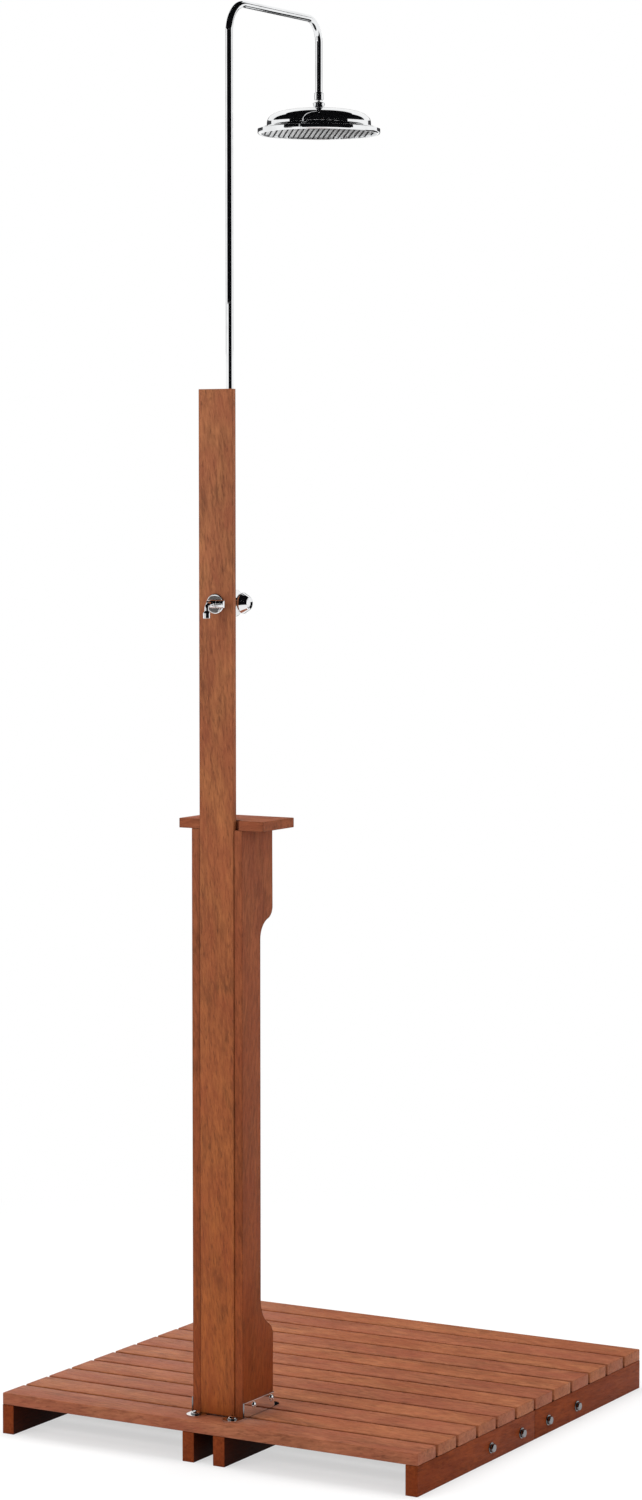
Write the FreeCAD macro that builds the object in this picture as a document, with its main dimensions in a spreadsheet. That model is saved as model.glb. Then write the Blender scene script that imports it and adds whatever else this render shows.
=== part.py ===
import FreeCAD, Part
import math
import os
import Sketcher
from FreeCAD import Placement, Rotation, Vector

# Outdoor shower post: a slatted hardwood deck carries a slender post made of a thin
# board between two shaped side panels, with a small shelf, a chrome riser and arm,
# a round overhead shower on a ball joint, a shower valve and a small bib tap.
#
# Frame: +Z up, origin at the centre of the deck's underside. The post stands near the
# front edge of the deck (-Y) and the shower arm reaches back over it (+Y). Millimetres.

doc = FreeCAD.newDocument("outdoor_shower_post")
sheet = doc.addObject("Spreadsheet::Sheet", "Sizes")

driving = {
    # deck
    "deck_width": 800,
    "slat_count": 12,
    "slat_width": 62,
    "slat_gap": 7.6,
    "slat_thickness": 20,
    "slat_edge_round": 1.5,
    "joist_height": 50,
    "joist_width": 22,
    "centre_joist_offset": 29.5,
    "joist_joint_gap": 1,
    "centre_screw_inset": 44,
    "deck_screw_grip": 28,
    "deck_screw_bite": 14,
    "deck_screw_radius": 2.2,
    "deck_screw_head_radius": 4.2,
    "deck_screw_head_height": 3,
    "counterbore_clearance": 0.8,
    # splice between the two halves of the deck
    "cleat_length": 380,
    "cleat_height": 40,
    "cleat_thickness": 20,
    "cleat_base_height": 3,
    "splice_bolt_near": 50,
    "splice_bolt_far": 160,
    "splice_bolt_height": 22.5,
    "splice_bolt_radius": 4,
    "splice_head_flats": 13,
    "splice_head_height": 5.3,
    "splice_nut_height": 6.5,
    "washer_radius": 9,
    "washer_thickness": 1.5,
    # post
    "post_setback": 46.1,
    "cabinet_width": 96.7,
    "panel_thickness": 15.4,
    "panel_depth": 96.7,
    "panel_height": 970,
    "waist_depth": 57.3,
    "ogee_low_start": 120,
    "ogee_low_height": 65,
    "ogee_low_round": 25,
    "ogee_high_end": 838,
    "ogee_high_height": 52,
    "ogee_high_round": 20,
    "board_side_gap": 0.6,
    "board_thickness": 10,
    "board_height": 1686,
    "board_proud": 1.5,
    "wood_edge_round": 0.8,
    # shelf
    "shelf_left": 72,
    "shelf_right": 88.5,
    "shelf_thickness": 16,
    "shelf_depth": 97.5,
    "shelf_notch_left_gap": 0.3,
    "shelf_notch_right_gap": 9.4,
    "shelf_notch_back_gap": 2,
    "shelf_pipe_gap": 2,
    # cross rails inside the cabinet
    "rail_thickness": 22,
    "rail_height": 45,
    "rail_base_height": 40,
    "rail_end_gap": 0,
    "dowel_radius": 4,
    "dowel_in_panel": 8,
    "dowel_in_rail": 14,
    "dowel_spacing": 24,
    "rail_screw_spacing": 34,
    "rail_screw_grip": 18.5,
    "rail_screw_bite": 6.5,
    "rail_screw_radius": 2,
    "rail_screw_head_radius": 4,
    "rail_screw_head_height": 2.8,
    # shoe brackets
    "bracket_thickness": 2.5,
    "bracket_leg_height": 27.5,
    "bracket_foot_width": 32,
    "ear_reach": 12,
    "bracket_bolt_front": 31,
    "bracket_bolt_rear": 87,
    "bracket_bolt_height": 18.5,
    "bracket_bolt_radius": 3,
    "bracket_head_radius": 5.5,
    "bracket_head_height": 3.5,
    "bracket_nut_flats": 10,
    "bracket_nut_height": 5,
    "anchor_radius": 3.5,
    "anchor_depth": 40,
    "anchor_head_radius": 6.8,
    "anchor_head_height": 4.6,
    "bolt_hole_clearance": 0.1,
    # riser pipe and arm
    "pipe_radius": 6,
    "pipe_wall": 1.2,
    "pipe_distance": 42.9,
    "arm_reach": 290,
    "arm_height": 2384,
    "riser_bend": 48,
    "drop_bend": 38,
    "inlet_height": 118,
    # pipe clips
    "clip_high": 1690,
    "clip_above_shelf": 121.5,
    "clip_wall": 2.4,
    "clip_height": 12,
    "clip_stem_radius": 3.5,
    "clip_plate_width": 16,
    "clip_plate_height": 40,
    "clip_plate_thickness": 3,
    "clip_screw_spacing": 26,
    "clip_screw_radius": 1.6,
    "clip_screw_length": 8,
    "clip_screw_head_radius": 3,
    "clip_screw_head_height": 1.8,
    # inlet elbow
    "elbow_radius": 9,
    "elbow_socket": 12,
    "elbow_below": 12,
    "elbow_centre": 9.5,
    "elbow_branch_radius": 7.5,
    "elbow_branch_length": 16,
    "inlet_shoulder_radius": 12.5,
    "inlet_shoulder_length": 4,
    "inlet_thread_radius": 10.48,
    "inlet_thread_length": 14,
    "inlet_bore": 4.5,
    # shower valve
    "valve_height": 1411,
    "valve_radius": 11,
    "valve_half_height": 20,
    "valve_socket": 10,
    "valve_passage": 4,
    "valve_boss_radius": 10.4,
    "union_nut_clearance": 0.2,
    "union_nut_height": 13,
    "union_nut_chamfer": 1,
    "union_nut_shoulder": 2,
    "union_nut_gap": 0.1,
    "flange_radius": 22,
    "flange_thickness": 3,
    "flange_distance": 9,
    "neck_radius": 9,
    "neck_length": 8,
    "spindle_radius": 5,
    "spindle_clearance": 0.1,
    "spindle_in_body": 7,
    "spindle_in_handle": 11,
    "handle_gap": 1,
    "handle_base_radius": 18,
    "handle_tip_radius": 11,
    "handle_length": 16.5,
    "handle_edge_round": 1.2,
    "branch_radius": 10,
    # bib tap on the front of the post
    "spigot_radius": 7,
    "spigot_depth": 10,
    "spigot_clearance": 0.05,
    "tap_passage": 3.4,
    "board_hole_gap": 0.6,
    "escutcheon_radius": 16.6,
    "escutcheon_thickness": 3,
    "escutcheon_round": 2,
    "tap_barrel_distance": 11.6,
    "tap_barrel_radius": 6.8,
    "tap_barrel_left": 8,
    "tap_barrel_right": 8.5,
    "tap_handle_gap": 1,
    "tap_handle_length": 14.5,
    "tap_handle_round": 1.5,
    "tap_spindle_radius": 3.2,
    "tap_spindle_in_body": 8,
    "tap_spindle_in_handle": 9,
    "spout_radius": 3.9,
    "spout_bore": 2.6,
    "spout_distance": 27.5,
    "spout_bend": 8,
    "spout_drop": 23,
    "outlet_radius": 6.2,
    "outlet_length": 8.5,
    "outlet_flare": 4,
    "outlet_wall": 1.4,
    # ball joint of the overhead shower
    "head_drop": 141,
    "ball_radius": 6,
    "ball_bore": 1.6,
    "stem_radius": 2.9,
    "ring_gap": 0.15,
    "ring_wall": 0.9,
    "seat_low": 5.6,
    "seat_high": 2.2,
    "slide_low": 1.3,
    "slide_high": 4.2,
    "nut_radius": 9.7,
    "nut_below": 4,
    "nut_above": 5,
    "hub_radius": 8.2,
    "hub_thread_gap": 0.05,
    "collar_radius": 7.7,
    "collar_chamfer": 1,
    "collar_low": 7.5,
    "collar_lip": 1.2,
    "collar_joint": 13,
    "collar_high": 21,
    "collar_thread_radius": 5.2,
    "collar_throat_radius": 3.4,
    # overhead shower
    "dome_radius": 88,
    "dome_top": 4.5,
    "dome_height": 29.5,
    "dome_crown_radius": 450,
    "dome_shoulder_radius": 22,
    "dome_wall": 1.5,
    "dome_boss_radius": 9.5,
    "dome_boss_depth": 9.5,
    "dome_bore": 3,
    "skirt_height": 3.5,
    "skirt_width": 6,
    "rim_radius": 103.5,
    "rim_height": 11.5,
    "rim_top_round": 5,
    "rim_low_round": 3.5,
    "rim_wall": 3.1,
    "rim_ledge": 3.4,
    "rim_ledge_height": 2.5,
    "rim_flange_height": 2.5,
    "spray_plate_thickness": 3,
    "spray_plate_gap": 0.2,
    "nozzle_pitch": 8.6,
    "nozzle_field_radius": 94,
    "nozzle_root_radius": 2,
    "nozzle_tip_radius": 1.3,
    "nozzle_length": 3.4,
    "nozzle_grid_turn": 34,
}


class Size:
    # A length that carries its number and the expression that gives it.
    def __init__(self, text, number):
        self.text = text
        self.number = number

    def __add__(self, other):
        return combine(self, "+", other, self.number + as_size(other).number)

    def __radd__(self, other):
        return as_size(other) + self

    def __sub__(self, other):
        return combine(self, "-", other, self.number - as_size(other).number)

    def __rsub__(self, other):
        return as_size(other) - self

    def __mul__(self, other):
        return combine(self, "*", other, self.number * as_size(other).number)

    def __rmul__(self, other):
        return as_size(other) * self

    def __truediv__(self, other):
        return combine(self, "/", other, self.number / as_size(other).number)

    def __neg__(self):
        return Size("(0 - %s)" % self.text, -self.number)


def as_size(value):
    if isinstance(value, Size):
        return value
    return Size("%.9g" % value, float(value))


def combine(first, sign, second, number):
    return Size("(%s %s %s)" % (first.text, sign, as_size(second).text), number)


def root(size):
    return Size("sqrt(%s)" % size.text, math.sqrt(size.number))


def leg(hypotenuse, side):
    # the other short side of a right triangle
    return root(hypotenuse * hypotenuse - side * side)


class Dimensions:
    pass


dims = Dimensions()
for row, (alias, value) in enumerate(driving.items(), start=1):
    sheet.set("A%d" % row, alias)
    sheet.set("B%d" % row, str(value))
    sheet.setAlias("B%d" % row, alias)
    setattr(dims, alias, Size("Sizes." + alias, float(value)))
doc.recompute()

# ---------------------------------------------------------------- shared positions
slat_total = int(driving["slat_count"])
slats_per_half = slat_total // 2
slat_pitch = dims.slat_width + dims.slat_gap
deck_depth = slat_pitch * dims.slat_count - dims.slat_gap
deck_front = -deck_depth / 2
deck_top = dims.joist_height + dims.slat_thickness
half_line = deck_front + slat_pitch * slats_per_half - dims.slat_gap / 2
outer_joist_x = dims.deck_width / 2 - dims.joist_width / 2

post_front = deck_front + dims.post_setback
post_base = deck_top + dims.bracket_thickness
cabinet_inner = dims.cabinet_width / 2 - dims.panel_thickness
board_width = (cabinet_inner - dims.board_side_gap) * 2
board_front = post_front - dims.board_proud
board_back = board_front + dims.board_thickness
shelf_base = post_base + dims.panel_height
rail_back = board_back + dims.rail_thickness
rail_length = (cabinet_inner - dims.rail_end_gap) * 2
rail_bottom_base = post_base + dims.rail_base_height
rail_top_base = shelf_base - dims.rail_height

ear_front = post_front - dims.ear_reach
ear_rear = post_front + dims.panel_depth + dims.ear_reach
bracket_outer = dims.cabinet_width / 2 + dims.bracket_thickness
ear_radius = dims.bracket_foot_width / 2
ear_x = bracket_outer - ear_radius

pipe_y = post_front + dims.pipe_distance
pipe_bore = dims.pipe_radius - dims.pipe_wall
head_y = pipe_y + dims.arm_reach
ball_height = dims.arm_height - dims.head_drop
arm_end = ball_height + dims.collar_joint
clip_low = shelf_base + dims.shelf_thickness + dims.clip_above_shelf
board_reach = pipe_y - board_back


# ---------------------------------------------------------------- building helpers
def bind(item, name, value):
    item.setExpression(name, as_size(value).text)


def place(item, x, y, z):
    for axis, value in (("x", x), ("y", y), ("z", z)):
        bind(item, "Placement.Base." + axis, value)


def add_body(label, x=0, y=0, z=0):
    body = doc.addObject("PartDesign::Body", label)
    body.Label = label
    place(body, x, y, z)
    return body


def add_sketch(body, name, plane, offset=None):
    sketch = body.newObject("Sketcher::SketchObject", name)
    for item in body.Origin.OriginFeatures:
        if item.Role == plane:
            sketch.AttachmentSupport = [(item, "")]
    sketch.MapMode = "FlatFace"
    if offset is not None:
        bind(sketch, "AttachmentOffset.Base.z", offset)
    return sketch


def pin_point(sketch, edge, end, x, y):
    for kind, value in (("DistanceX", as_size(x)), ("DistanceY", as_size(y))):
        index = sketch.addConstraint(Sketcher.Constraint(kind, -1, 1, edge, end, value.number))
        sketch.setExpression("Constraints[%d]" % index, value.text)


def pin_radius(sketch, edge, radius):
    radius = as_size(radius)
    index = sketch.addConstraint(Sketcher.Constraint("Radius", edge, radius.number))
    sketch.setExpression("Constraints[%d]" % index, radius.text)


def draw_circle(sketch, x, y, radius):
    centre = Vector(as_size(x).number, as_size(y).number, 0)
    edge = sketch.addGeometry(Part.Circle(centre, Vector(0, 0, 1), as_size(radius).number), False)
    pin_point(sketch, edge, 3, x, y)
    pin_radius(sketch, edge, radius)


def arc_centre(start, end, radius, side):
    chord = end - start
    middle = start + chord * 0.5
    height = math.sqrt(radius * radius - chord.Length * chord.Length / 4)
    left = Vector(-chord.y, chord.x, 0).normalize()
    return middle + left * (height if side == "left" else -height)


def draw_outline(sketch, corners, closed=True):
    # Each corner is (x, y), or (x, y, radius, side) where the edge that leaves it is an
    # arc whose centre lies on that side of the way from corner to corner.
    points = [Vector(as_size(corner[0]).number, as_size(corner[1]).number, 0) for corner in corners]
    count = len(corners) if closed else len(corners) - 1
    ends = []
    for index in range(count):
        corner = corners[index]
        start = points[index]
        end = points[(index + 1) % len(points)]
        if len(corner) == 2:
            edge = sketch.addGeometry(Part.LineSegment(start, end), False)
            ends.append((edge, 1, 2))
            continue
        side = corner[3]
        centre = arc_centre(start, end, as_size(corner[2]).number, side)
        first, last = (start, end) if side == "left" else (end, start)
        first_angle = math.atan2(first.y - centre.y, first.x - centre.x)
        last_angle = math.atan2(last.y - centre.y, last.x - centre.x)
        circle = Part.Circle(centre, Vector(0, 0, 1), as_size(corner[2]).number)
        edge = sketch.addGeometry(Part.ArcOfCircle(circle, first_angle, last_angle), False)
        ends.append((edge, 1, 2) if side == "left" else (edge, 2, 1))
    for index, (edge, start_end, last_end) in enumerate(ends):
        if closed or index + 1 < len(ends):
            follower = ends[(index + 1) % len(ends)]
            join = Sketcher.Constraint("Coincident", edge, last_end, follower[0], follower[1])
            sketch.addConstraint(join)
        pin_point(sketch, edge, start_end, corners[index][0], corners[index][1])
        if len(corners[index]) == 4:
            pin_radius(sketch, edge, corners[index][2])
    if not closed:
        edge, _, last_end = ends[-1]
        pin_point(sketch, edge, last_end, corners[-1][0], corners[-1][1])


def rectangle(left, low, right, high):
    return [(left, low), (right, low), (right, high), (left, high)]


def pad(body, sketch, length, reverse=False, both=False):
    feature = body.newObject("PartDesign::Pad", sketch.Name + "_pad")
    feature.Profile = sketch
    bind(feature, "Length", length)
    feature.Reversed = reverse
    if both:
        feature.SideType = "Symmetric"
    sketch.Visibility = False
    return feature


def pocket(body, sketch, length=None, reverse=False):
    # With no length the pocket goes right through the solid on both sides.
    feature = body.newObject("PartDesign::Pocket", sketch.Name + "_pocket")
    feature.Profile = sketch
    if length is None:
        feature.Type = "ThroughAll"
        feature.SideType = "Symmetric"
    else:
        bind(feature, "Length", length)
        feature.Reversed = reverse
    return feature


def revolve(body, sketch):
    feature = body.newObject("PartDesign::Revolution", sketch.Name + "_turned")
    feature.Profile = sketch
    feature.ReferenceAxis = (sketch, ["V_Axis"])
    feature.Angle = 360
    return feature


def soften(body, feature, radius, wanted):
    # rounds the edges of a feature that the test picks out
    doc.recompute()
    names = []
    for index, edge in enumerate(feature.Shape.Edges, start=1):
        if wanted(edge):
            names.append("Edge%d" % index)
    fillet = body.newObject("PartDesign::Fillet", feature.Name + "_soft")
    fillet.Base = (feature, names)
    bind(fillet, "Radius", radius)
    return fillet


def turned(label, corners, x=0, y=0, z=0, turn=None):
    # a solid of revolution about its own Z axis, from corners of radius and height
    body = add_body(label, x, y, z)
    if turn is not None:
        body.Placement = Placement(body.Placement.Base, turn)
        place(body, x, y, z)
    sketch = add_sketch(body, label + "_profile", "XZ_Plane")
    draw_outline(sketch, corners)
    revolve(body, sketch)
    return body


def hexagon(flats):
    # corners of a hexagon that stands on a corner, from its size across flats
    side = flats / root(as_size(3))
    half = flats / 2
    return [(0, -side), (half, -side / 2), (half, side / 2), (0, side), (-half, side / 2), (-half, -side / 2)]


def rod(name, radius, length, x, y, z, direction):
    # a plain round primitive that starts at a point and runs along a direction
    item = doc.addObject("Part::Cylinder", name)
    bind(item, "Radius", radius)
    bind(item, "Height", length)
    item.Placement = Placement(Vector(), Rotation(Vector(0, 0, 1), direction))
    place(item, x, y, z)
    return item


def block(name, width, depth, height, x, y, z):
    item = doc.addObject("Part::Box", name)
    bind(item, "Length", width)
    bind(item, "Width", depth)
    bind(item, "Height", height)
    place(item, x, y, z)
    return item


def fuse(name, items):
    joined = doc.addObject("Part::MultiFuse", name)
    joined.Shapes = items
    joined.Refine = True
    return joined


def cut(label, base, tools):
    tool = tools[0] if len(tools) == 1 else fuse(label + "_tools", tools)
    result = doc.addObject("Part::Cut", label)
    result.Label = label
    result.Base = base
    result.Tool = tool
    result.Refine = True
    return result


sub_parts = []


def keep(item):
    sub_parts.append(item)
    return item


UP = Vector(0, 0, 1)
RIGHT = Vector(1, 0, 0)
LEFT = Vector(-1, 0, 0)
BACK = Vector(0, 1, 0)
FRONT = Vector(0, -1, 0)
sides = (("left", -1), ("right", 1))

# ---------------------------------------------------------------- deck
joist_lines = (
    ("left", -outer_joist_x),
    ("centre_left", -dims.centre_joist_offset),
    ("centre_right", dims.centre_joist_offset),
    ("right", outer_joist_x),
)


def slat_front(index):
    return deck_front + slat_pitch * index


def screw_inset(line_name):
    # the screws of the outer joists stay in the middle of a slat, clear of the splice bolts,
    # and those of the centre joists stay clear of the post's anchor screws
    return dims.slat_width / 2 if line_name in ("left", "right") else dims.centre_screw_inset


def make_slat(index):
    body = add_body("slat_%02d" % (index + 1), 0, slat_front(index), dims.joist_height)
    section = add_sketch(body, "slat_section_%d" % index, "YZ_Plane")
    edge = dims.slat_edge_round
    wide = dims.slat_width
    high = dims.slat_thickness
    draw_outline(section, [
        (edge, 0),
        (wide - edge, 0, edge, "left"),
        (wide, edge),
        (wide, high - edge, edge, "left"),
        (wide - edge, high),
        (edge, high, edge, "left"),
        (0, high - edge),
        (0, edge, edge, "left"),
    ])
    pad(body, section, dims.deck_width, both=True)
    pilots = add_sketch(body, "slat_pilots_%d" % index, "XY_Plane")
    for line_name, x in joist_lines:
        draw_circle(pilots, x, screw_inset(line_name), dims.deck_screw_radius)
    pocket(body, pilots, dims.deck_screw_bite, reverse=True)
    anchor_rows = [ear for ear in (ear_front, ear_rear)
                   if 0 < ear.number - slat_front(index).number < dims.slat_width.number]
    if anchor_rows:
        anchors = add_sketch(body, "slat_anchors_%d" % index, "XY_Plane")
        for ear in anchor_rows:
            for _, side in sides:
                draw_circle(anchors, ear_x * side, ear - slat_front(index), dims.anchor_radius)
        pocket(body, anchors)
    return body


def make_joist(half, line_name, x):
    # Each half of the deck has four joists, and the halves meet at the half line.
    label = "joist_%s_%s" % (half, line_name)
    start = deck_front if half == "front" else half_line + dims.joist_joint_gap / 2
    end = half_line - dims.joist_joint_gap / 2 if half == "front" else deck_front + deck_depth
    body = add_body(label, x, start, 0)
    plan = add_sketch(body, label + "_plan", "XY_Plane")
    draw_outline(plan, rectangle(-dims.joist_width / 2, 0, dims.joist_width / 2, end - start))
    pad(body, plan, dims.joist_height)
    rows = range(slats_per_half) if half == "front" else range(slats_per_half, slat_total)
    holes = add_sketch(body, label + "_screw_holes", "XY_Plane")
    bores = add_sketch(body, label + "_counterbores", "XY_Plane")
    bore_radius = dims.deck_screw_head_radius + dims.counterbore_clearance
    for row in rows:
        along = slat_front(row) + screw_inset(line_name) - start
        draw_circle(holes, 0, along, dims.deck_screw_radius)
        draw_circle(bores, 0, along, bore_radius)
    pocket(body, holes)
    pocket(body, bores, dims.joist_height - dims.deck_screw_grip, reverse=True)
    if line_name in ("left", "right"):
        bolt_holes = add_sketch(body, label + "_bolt_holes", "YZ_Plane")
        sign = -1 if half == "front" else 1
        for reach in (dims.splice_bolt_near, dims.splice_bolt_far):
            along = half_line + reach * sign - start
            radius = dims.splice_bolt_radius + dims.bolt_hole_clearance
            draw_circle(bolt_holes, along, dims.splice_bolt_height, radius)
        pocket(body, bolt_holes)
    elif half == "front":
        top = add_sketch(body, label + "_anchor_holes", "XY_Plane", dims.joist_height)
        sign = -1 if line_name == "centre_left" else 1
        for ear in (ear_front, ear_rear):
            draw_circle(top, (ear_x - dims.centre_joist_offset) * sign, ear - start, dims.anchor_radius)
        pocket(body, top, dims.anchor_depth - dims.slat_thickness)
    return body


def make_cleat(name, side):
    label = "splice_cleat_" + name
    inner = (dims.deck_width / 2 - dims.joist_width - dims.cleat_thickness / 2) * side
    body = add_body(label, inner, half_line, dims.cleat_base_height)
    face = add_sketch(body, label + "_face", "YZ_Plane")
    half = dims.cleat_length / 2
    draw_outline(face, rectangle(-half, 0, half, dims.cleat_height))
    pad(body, face, dims.cleat_thickness, both=True)
    holes = add_sketch(body, label + "_holes", "YZ_Plane")
    for reach in (dims.splice_bolt_near, dims.splice_bolt_far):
        for sign in (-1, 1):
            radius = dims.splice_bolt_radius + dims.bolt_hole_clearance
            draw_circle(holes, reach * sign, dims.splice_bolt_height - dims.cleat_base_height, radius)
    pocket(body, holes)
    return body


for slat_index in range(slat_total):
    keep(make_slat(slat_index))
for half_name in ("front", "rear"):
    for joist_name, joist_x in joist_lines:
        keep(make_joist(half_name, joist_name, joist_x))
for side_name, side_sign in sides:
    keep(make_cleat(side_name, side_sign))


# ---------------------------------------------------------------- post
def ogee(wide, narrow, start, height, round_radius, rising):
    # Two tangent arcs that lead from the full depth to the waist, or back again.
    depth = wide - narrow
    total = (depth * depth + height * height) / (depth * 2)
    share = round_radius / total
    hollow = total - round_radius
    if rising:
        return [
            (wide, start, round_radius, "left"),
            (wide - depth * share, start + height * share, hollow, "right"),
            (narrow, start + height),
        ]
    return [
        (narrow, start - height, hollow, "right"),
        (wide - depth * share, start - height * share, round_radius, "left"),
        (wide, start),
    ]


def dowel_heights(base):
    middle = base - post_base + dims.rail_height / 2
    return (middle - dims.dowel_spacing / 2, middle + dims.dowel_spacing / 2)


dowel_y = (board_back + rail_back) / 2


def make_panel(name, side):
    label = "side_panel_" + name
    body = add_body(label, cabinet_inner * side, post_front, post_base)
    profile = add_sketch(body, label + "_profile", "YZ_Plane")
    corners = [(0, 0), (dims.panel_depth, 0)]
    corners += ogee(dims.panel_depth, dims.waist_depth, dims.ogee_low_start,
                    dims.ogee_low_height, dims.ogee_low_round, True)
    corners += ogee(dims.panel_depth, dims.waist_depth, dims.ogee_high_end,
                    dims.ogee_high_height, dims.ogee_high_round, False)
    corners += [(dims.panel_depth, dims.panel_height), (0, dims.panel_height)]
    draw_outline(profile, corners)
    outward = side > 0
    slab = pad(body, profile, dims.panel_thickness, reverse=not outward)
    height = dims.panel_height.number
    soften(body, slab, dims.wood_edge_round, lambda edge: is_long_outline_edge(edge, height))
    bolts = add_sketch(body, label + "_bolt_holes", "YZ_Plane")
    for y in (dims.bracket_bolt_front, dims.bracket_bolt_rear):
        radius = dims.bracket_bolt_radius + dims.bolt_hole_clearance
        draw_circle(bolts, y, dims.bracket_bolt_height - dims.bracket_thickness, radius)
    pocket(body, bolts)
    dowels = add_sketch(body, label + "_dowel_holes", "YZ_Plane")
    for base in (rail_bottom_base, rail_top_base):
        for z in dowel_heights(base):
            draw_circle(dowels, dowel_y - post_front, z, dims.dowel_radius)
    pocket(body, dowels, dims.dowel_in_panel, reverse=outward)
    return body


def is_long_outline_edge(edge, height):
    # every edge of the slab's two faces apart from those round its top and bottom ends
    box = edge.BoundBox
    across = box.XLength > 1
    at_end = box.ZLength < 0.01 and (box.ZMin < 0.01 or box.ZMax > height - 0.01)
    return not across and not at_end


def is_upright_edge(edge):
    return edge.BoundBox.ZLength > 1


def make_board():
    body = add_body("post_board", 0, board_front, post_base)
    face = add_sketch(body, "board_face", "XZ_Plane")
    half = board_width / 2
    draw_outline(face, rectangle(-half, 0, half, dims.board_height))
    plank = pad(body, face, dims.board_thickness, reverse=True)
    soften(body, plank, dims.wood_edge_round, is_upright_edge)
    hole = add_sketch(body, "board_tap_hole", "XZ_Plane")
    draw_circle(hole, 0, dims.valve_height - post_base, dims.spigot_radius + dims.board_hole_gap)
    pocket(body, hole)
    rail_holes = add_sketch(body, "board_rail_screws", "XZ_Plane", -dims.board_thickness)
    for base in (rail_bottom_base, rail_top_base):
        for sign in (-1, 1):
            z = base - post_base + dims.rail_height / 2
            draw_circle(rail_holes, dims.rail_screw_spacing / 2 * sign, z, dims.rail_screw_radius)
    pocket(body, rail_holes, dims.rail_screw_bite, reverse=True)
    clip_holes = add_sketch(body, "board_clip_screws", "XZ_Plane", -dims.board_thickness)
    for height in (clip_low, dims.clip_high):
        for sign in (-1, 1):
            z = height - post_base + dims.clip_screw_spacing / 2 * sign
            draw_circle(clip_holes, 0, z, dims.clip_screw_radius)
    pocket(body, clip_holes, dims.clip_screw_length - dims.clip_plate_thickness, reverse=True)
    return body


def make_shelf():
    body = add_body("shelf", 0, post_front, shelf_base)
    plan = add_sketch(body, "shelf_plan", "XY_Plane")
    notch_left = -board_width / 2 - dims.shelf_notch_left_gap
    notch_right = board_width / 2 + dims.shelf_notch_right_gap
    notch_depth = board_back - post_front + dims.shelf_notch_back_gap
    draw_outline(plan, [
        (-dims.shelf_left, 0),
        (notch_left, 0),
        (notch_left, notch_depth),
        (notch_right, notch_depth),
        (notch_right, 0),
        (dims.shelf_right, 0),
        (dims.shelf_right, dims.shelf_depth),
        (-dims.shelf_left, dims.shelf_depth),
    ])
    slab = pad(body, plan, dims.shelf_thickness)
    soften(body, slab, dims.wood_edge_round, is_shelf_rim_edge)
    hole = add_sketch(body, "shelf_pipe_hole", "XY_Plane")
    draw_circle(hole, 0, dims.pipe_distance, dims.pipe_radius + dims.shelf_pipe_gap)
    pocket(body, hole)
    screws = add_sketch(body, "shelf_screw_holes", "XY_Plane")
    for sign in (-1, 1):
        x = dims.rail_screw_spacing / 2 * sign
        draw_circle(screws, x, dowel_y - post_front, dims.rail_screw_radius)
    pocket(body, screws, dims.rail_screw_bite, reverse=True)
    return body


def is_shelf_rim_edge(edge):
    # the outer rim of the shelf's top and bottom, but not the notch
    box = edge.BoundBox
    level = box.ZLength < 0.01
    left = box.XMax < -dims.shelf_left.number + 0.01
    right = box.XMin > dims.shelf_right.number - 0.01
    back = box.YMin > dims.shelf_depth.number - 0.01
    return level and (left or right or back)


def make_rail(name, base, into_shelf):
    label = "rail_" + name
    body = add_body(label, 0, board_back, base)
    plan = add_sketch(body, label + "_plan", "XY_Plane")
    half = rail_length / 2
    draw_outline(plan, rectangle(-half, 0, half, dims.rail_thickness))
    pad(body, plan, dims.rail_height)
    shanks = add_sketch(body, label + "_screw_holes", "XZ_Plane")
    heads = add_sketch(body, label + "_screw_heads", "XZ_Plane", -dims.rail_thickness)
    head_radius = dims.rail_screw_head_radius + dims.counterbore_clearance
    for sign in (-1, 1):
        x = dims.rail_screw_spacing / 2 * sign
        draw_circle(shanks, x, dims.rail_height / 2, dims.rail_screw_radius)
        draw_circle(heads, x, dims.rail_height / 2, head_radius)
    pocket(body, shanks)
    pocket(body, heads, dims.rail_thickness - dims.rail_screw_grip, reverse=True)
    for sign, end_name in ((-1, "left"), (1, "right")):
        ends = add_sketch(body, "%s_dowels_%s" % (label, end_name), "YZ_Plane", half * sign)
        for z in (-1, 1):
            height = dims.rail_height / 2 + dims.dowel_spacing / 2 * z
            draw_circle(ends, dims.rail_thickness / 2, height, dims.dowel_radius)
        pocket(body, ends, dims.dowel_in_rail, reverse=sign < 0)
    if into_shelf:
        up_shanks = add_sketch(body, label + "_shelf_screws", "XY_Plane")
        up_heads = add_sketch(body, label + "_shelf_heads", "XY_Plane")
        for sign in (-1, 1):
            x = dims.rail_screw_spacing / 2 * sign
            draw_circle(up_shanks, x, dims.rail_thickness / 2, dims.rail_screw_radius)
            draw_circle(up_heads, x, dims.rail_thickness / 2, head_radius)
        pocket(body, up_shanks)
        pocket(body, up_heads, dims.rail_height - dims.rail_screw_grip, reverse=True)
    return body


keep(make_board())
for side_name, side_sign in sides:
    keep(make_panel(side_name, side_sign))
keep(make_shelf())
keep(make_rail("bottom", rail_bottom_base, False))
keep(make_rail("top", rail_top_base, True))


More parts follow.
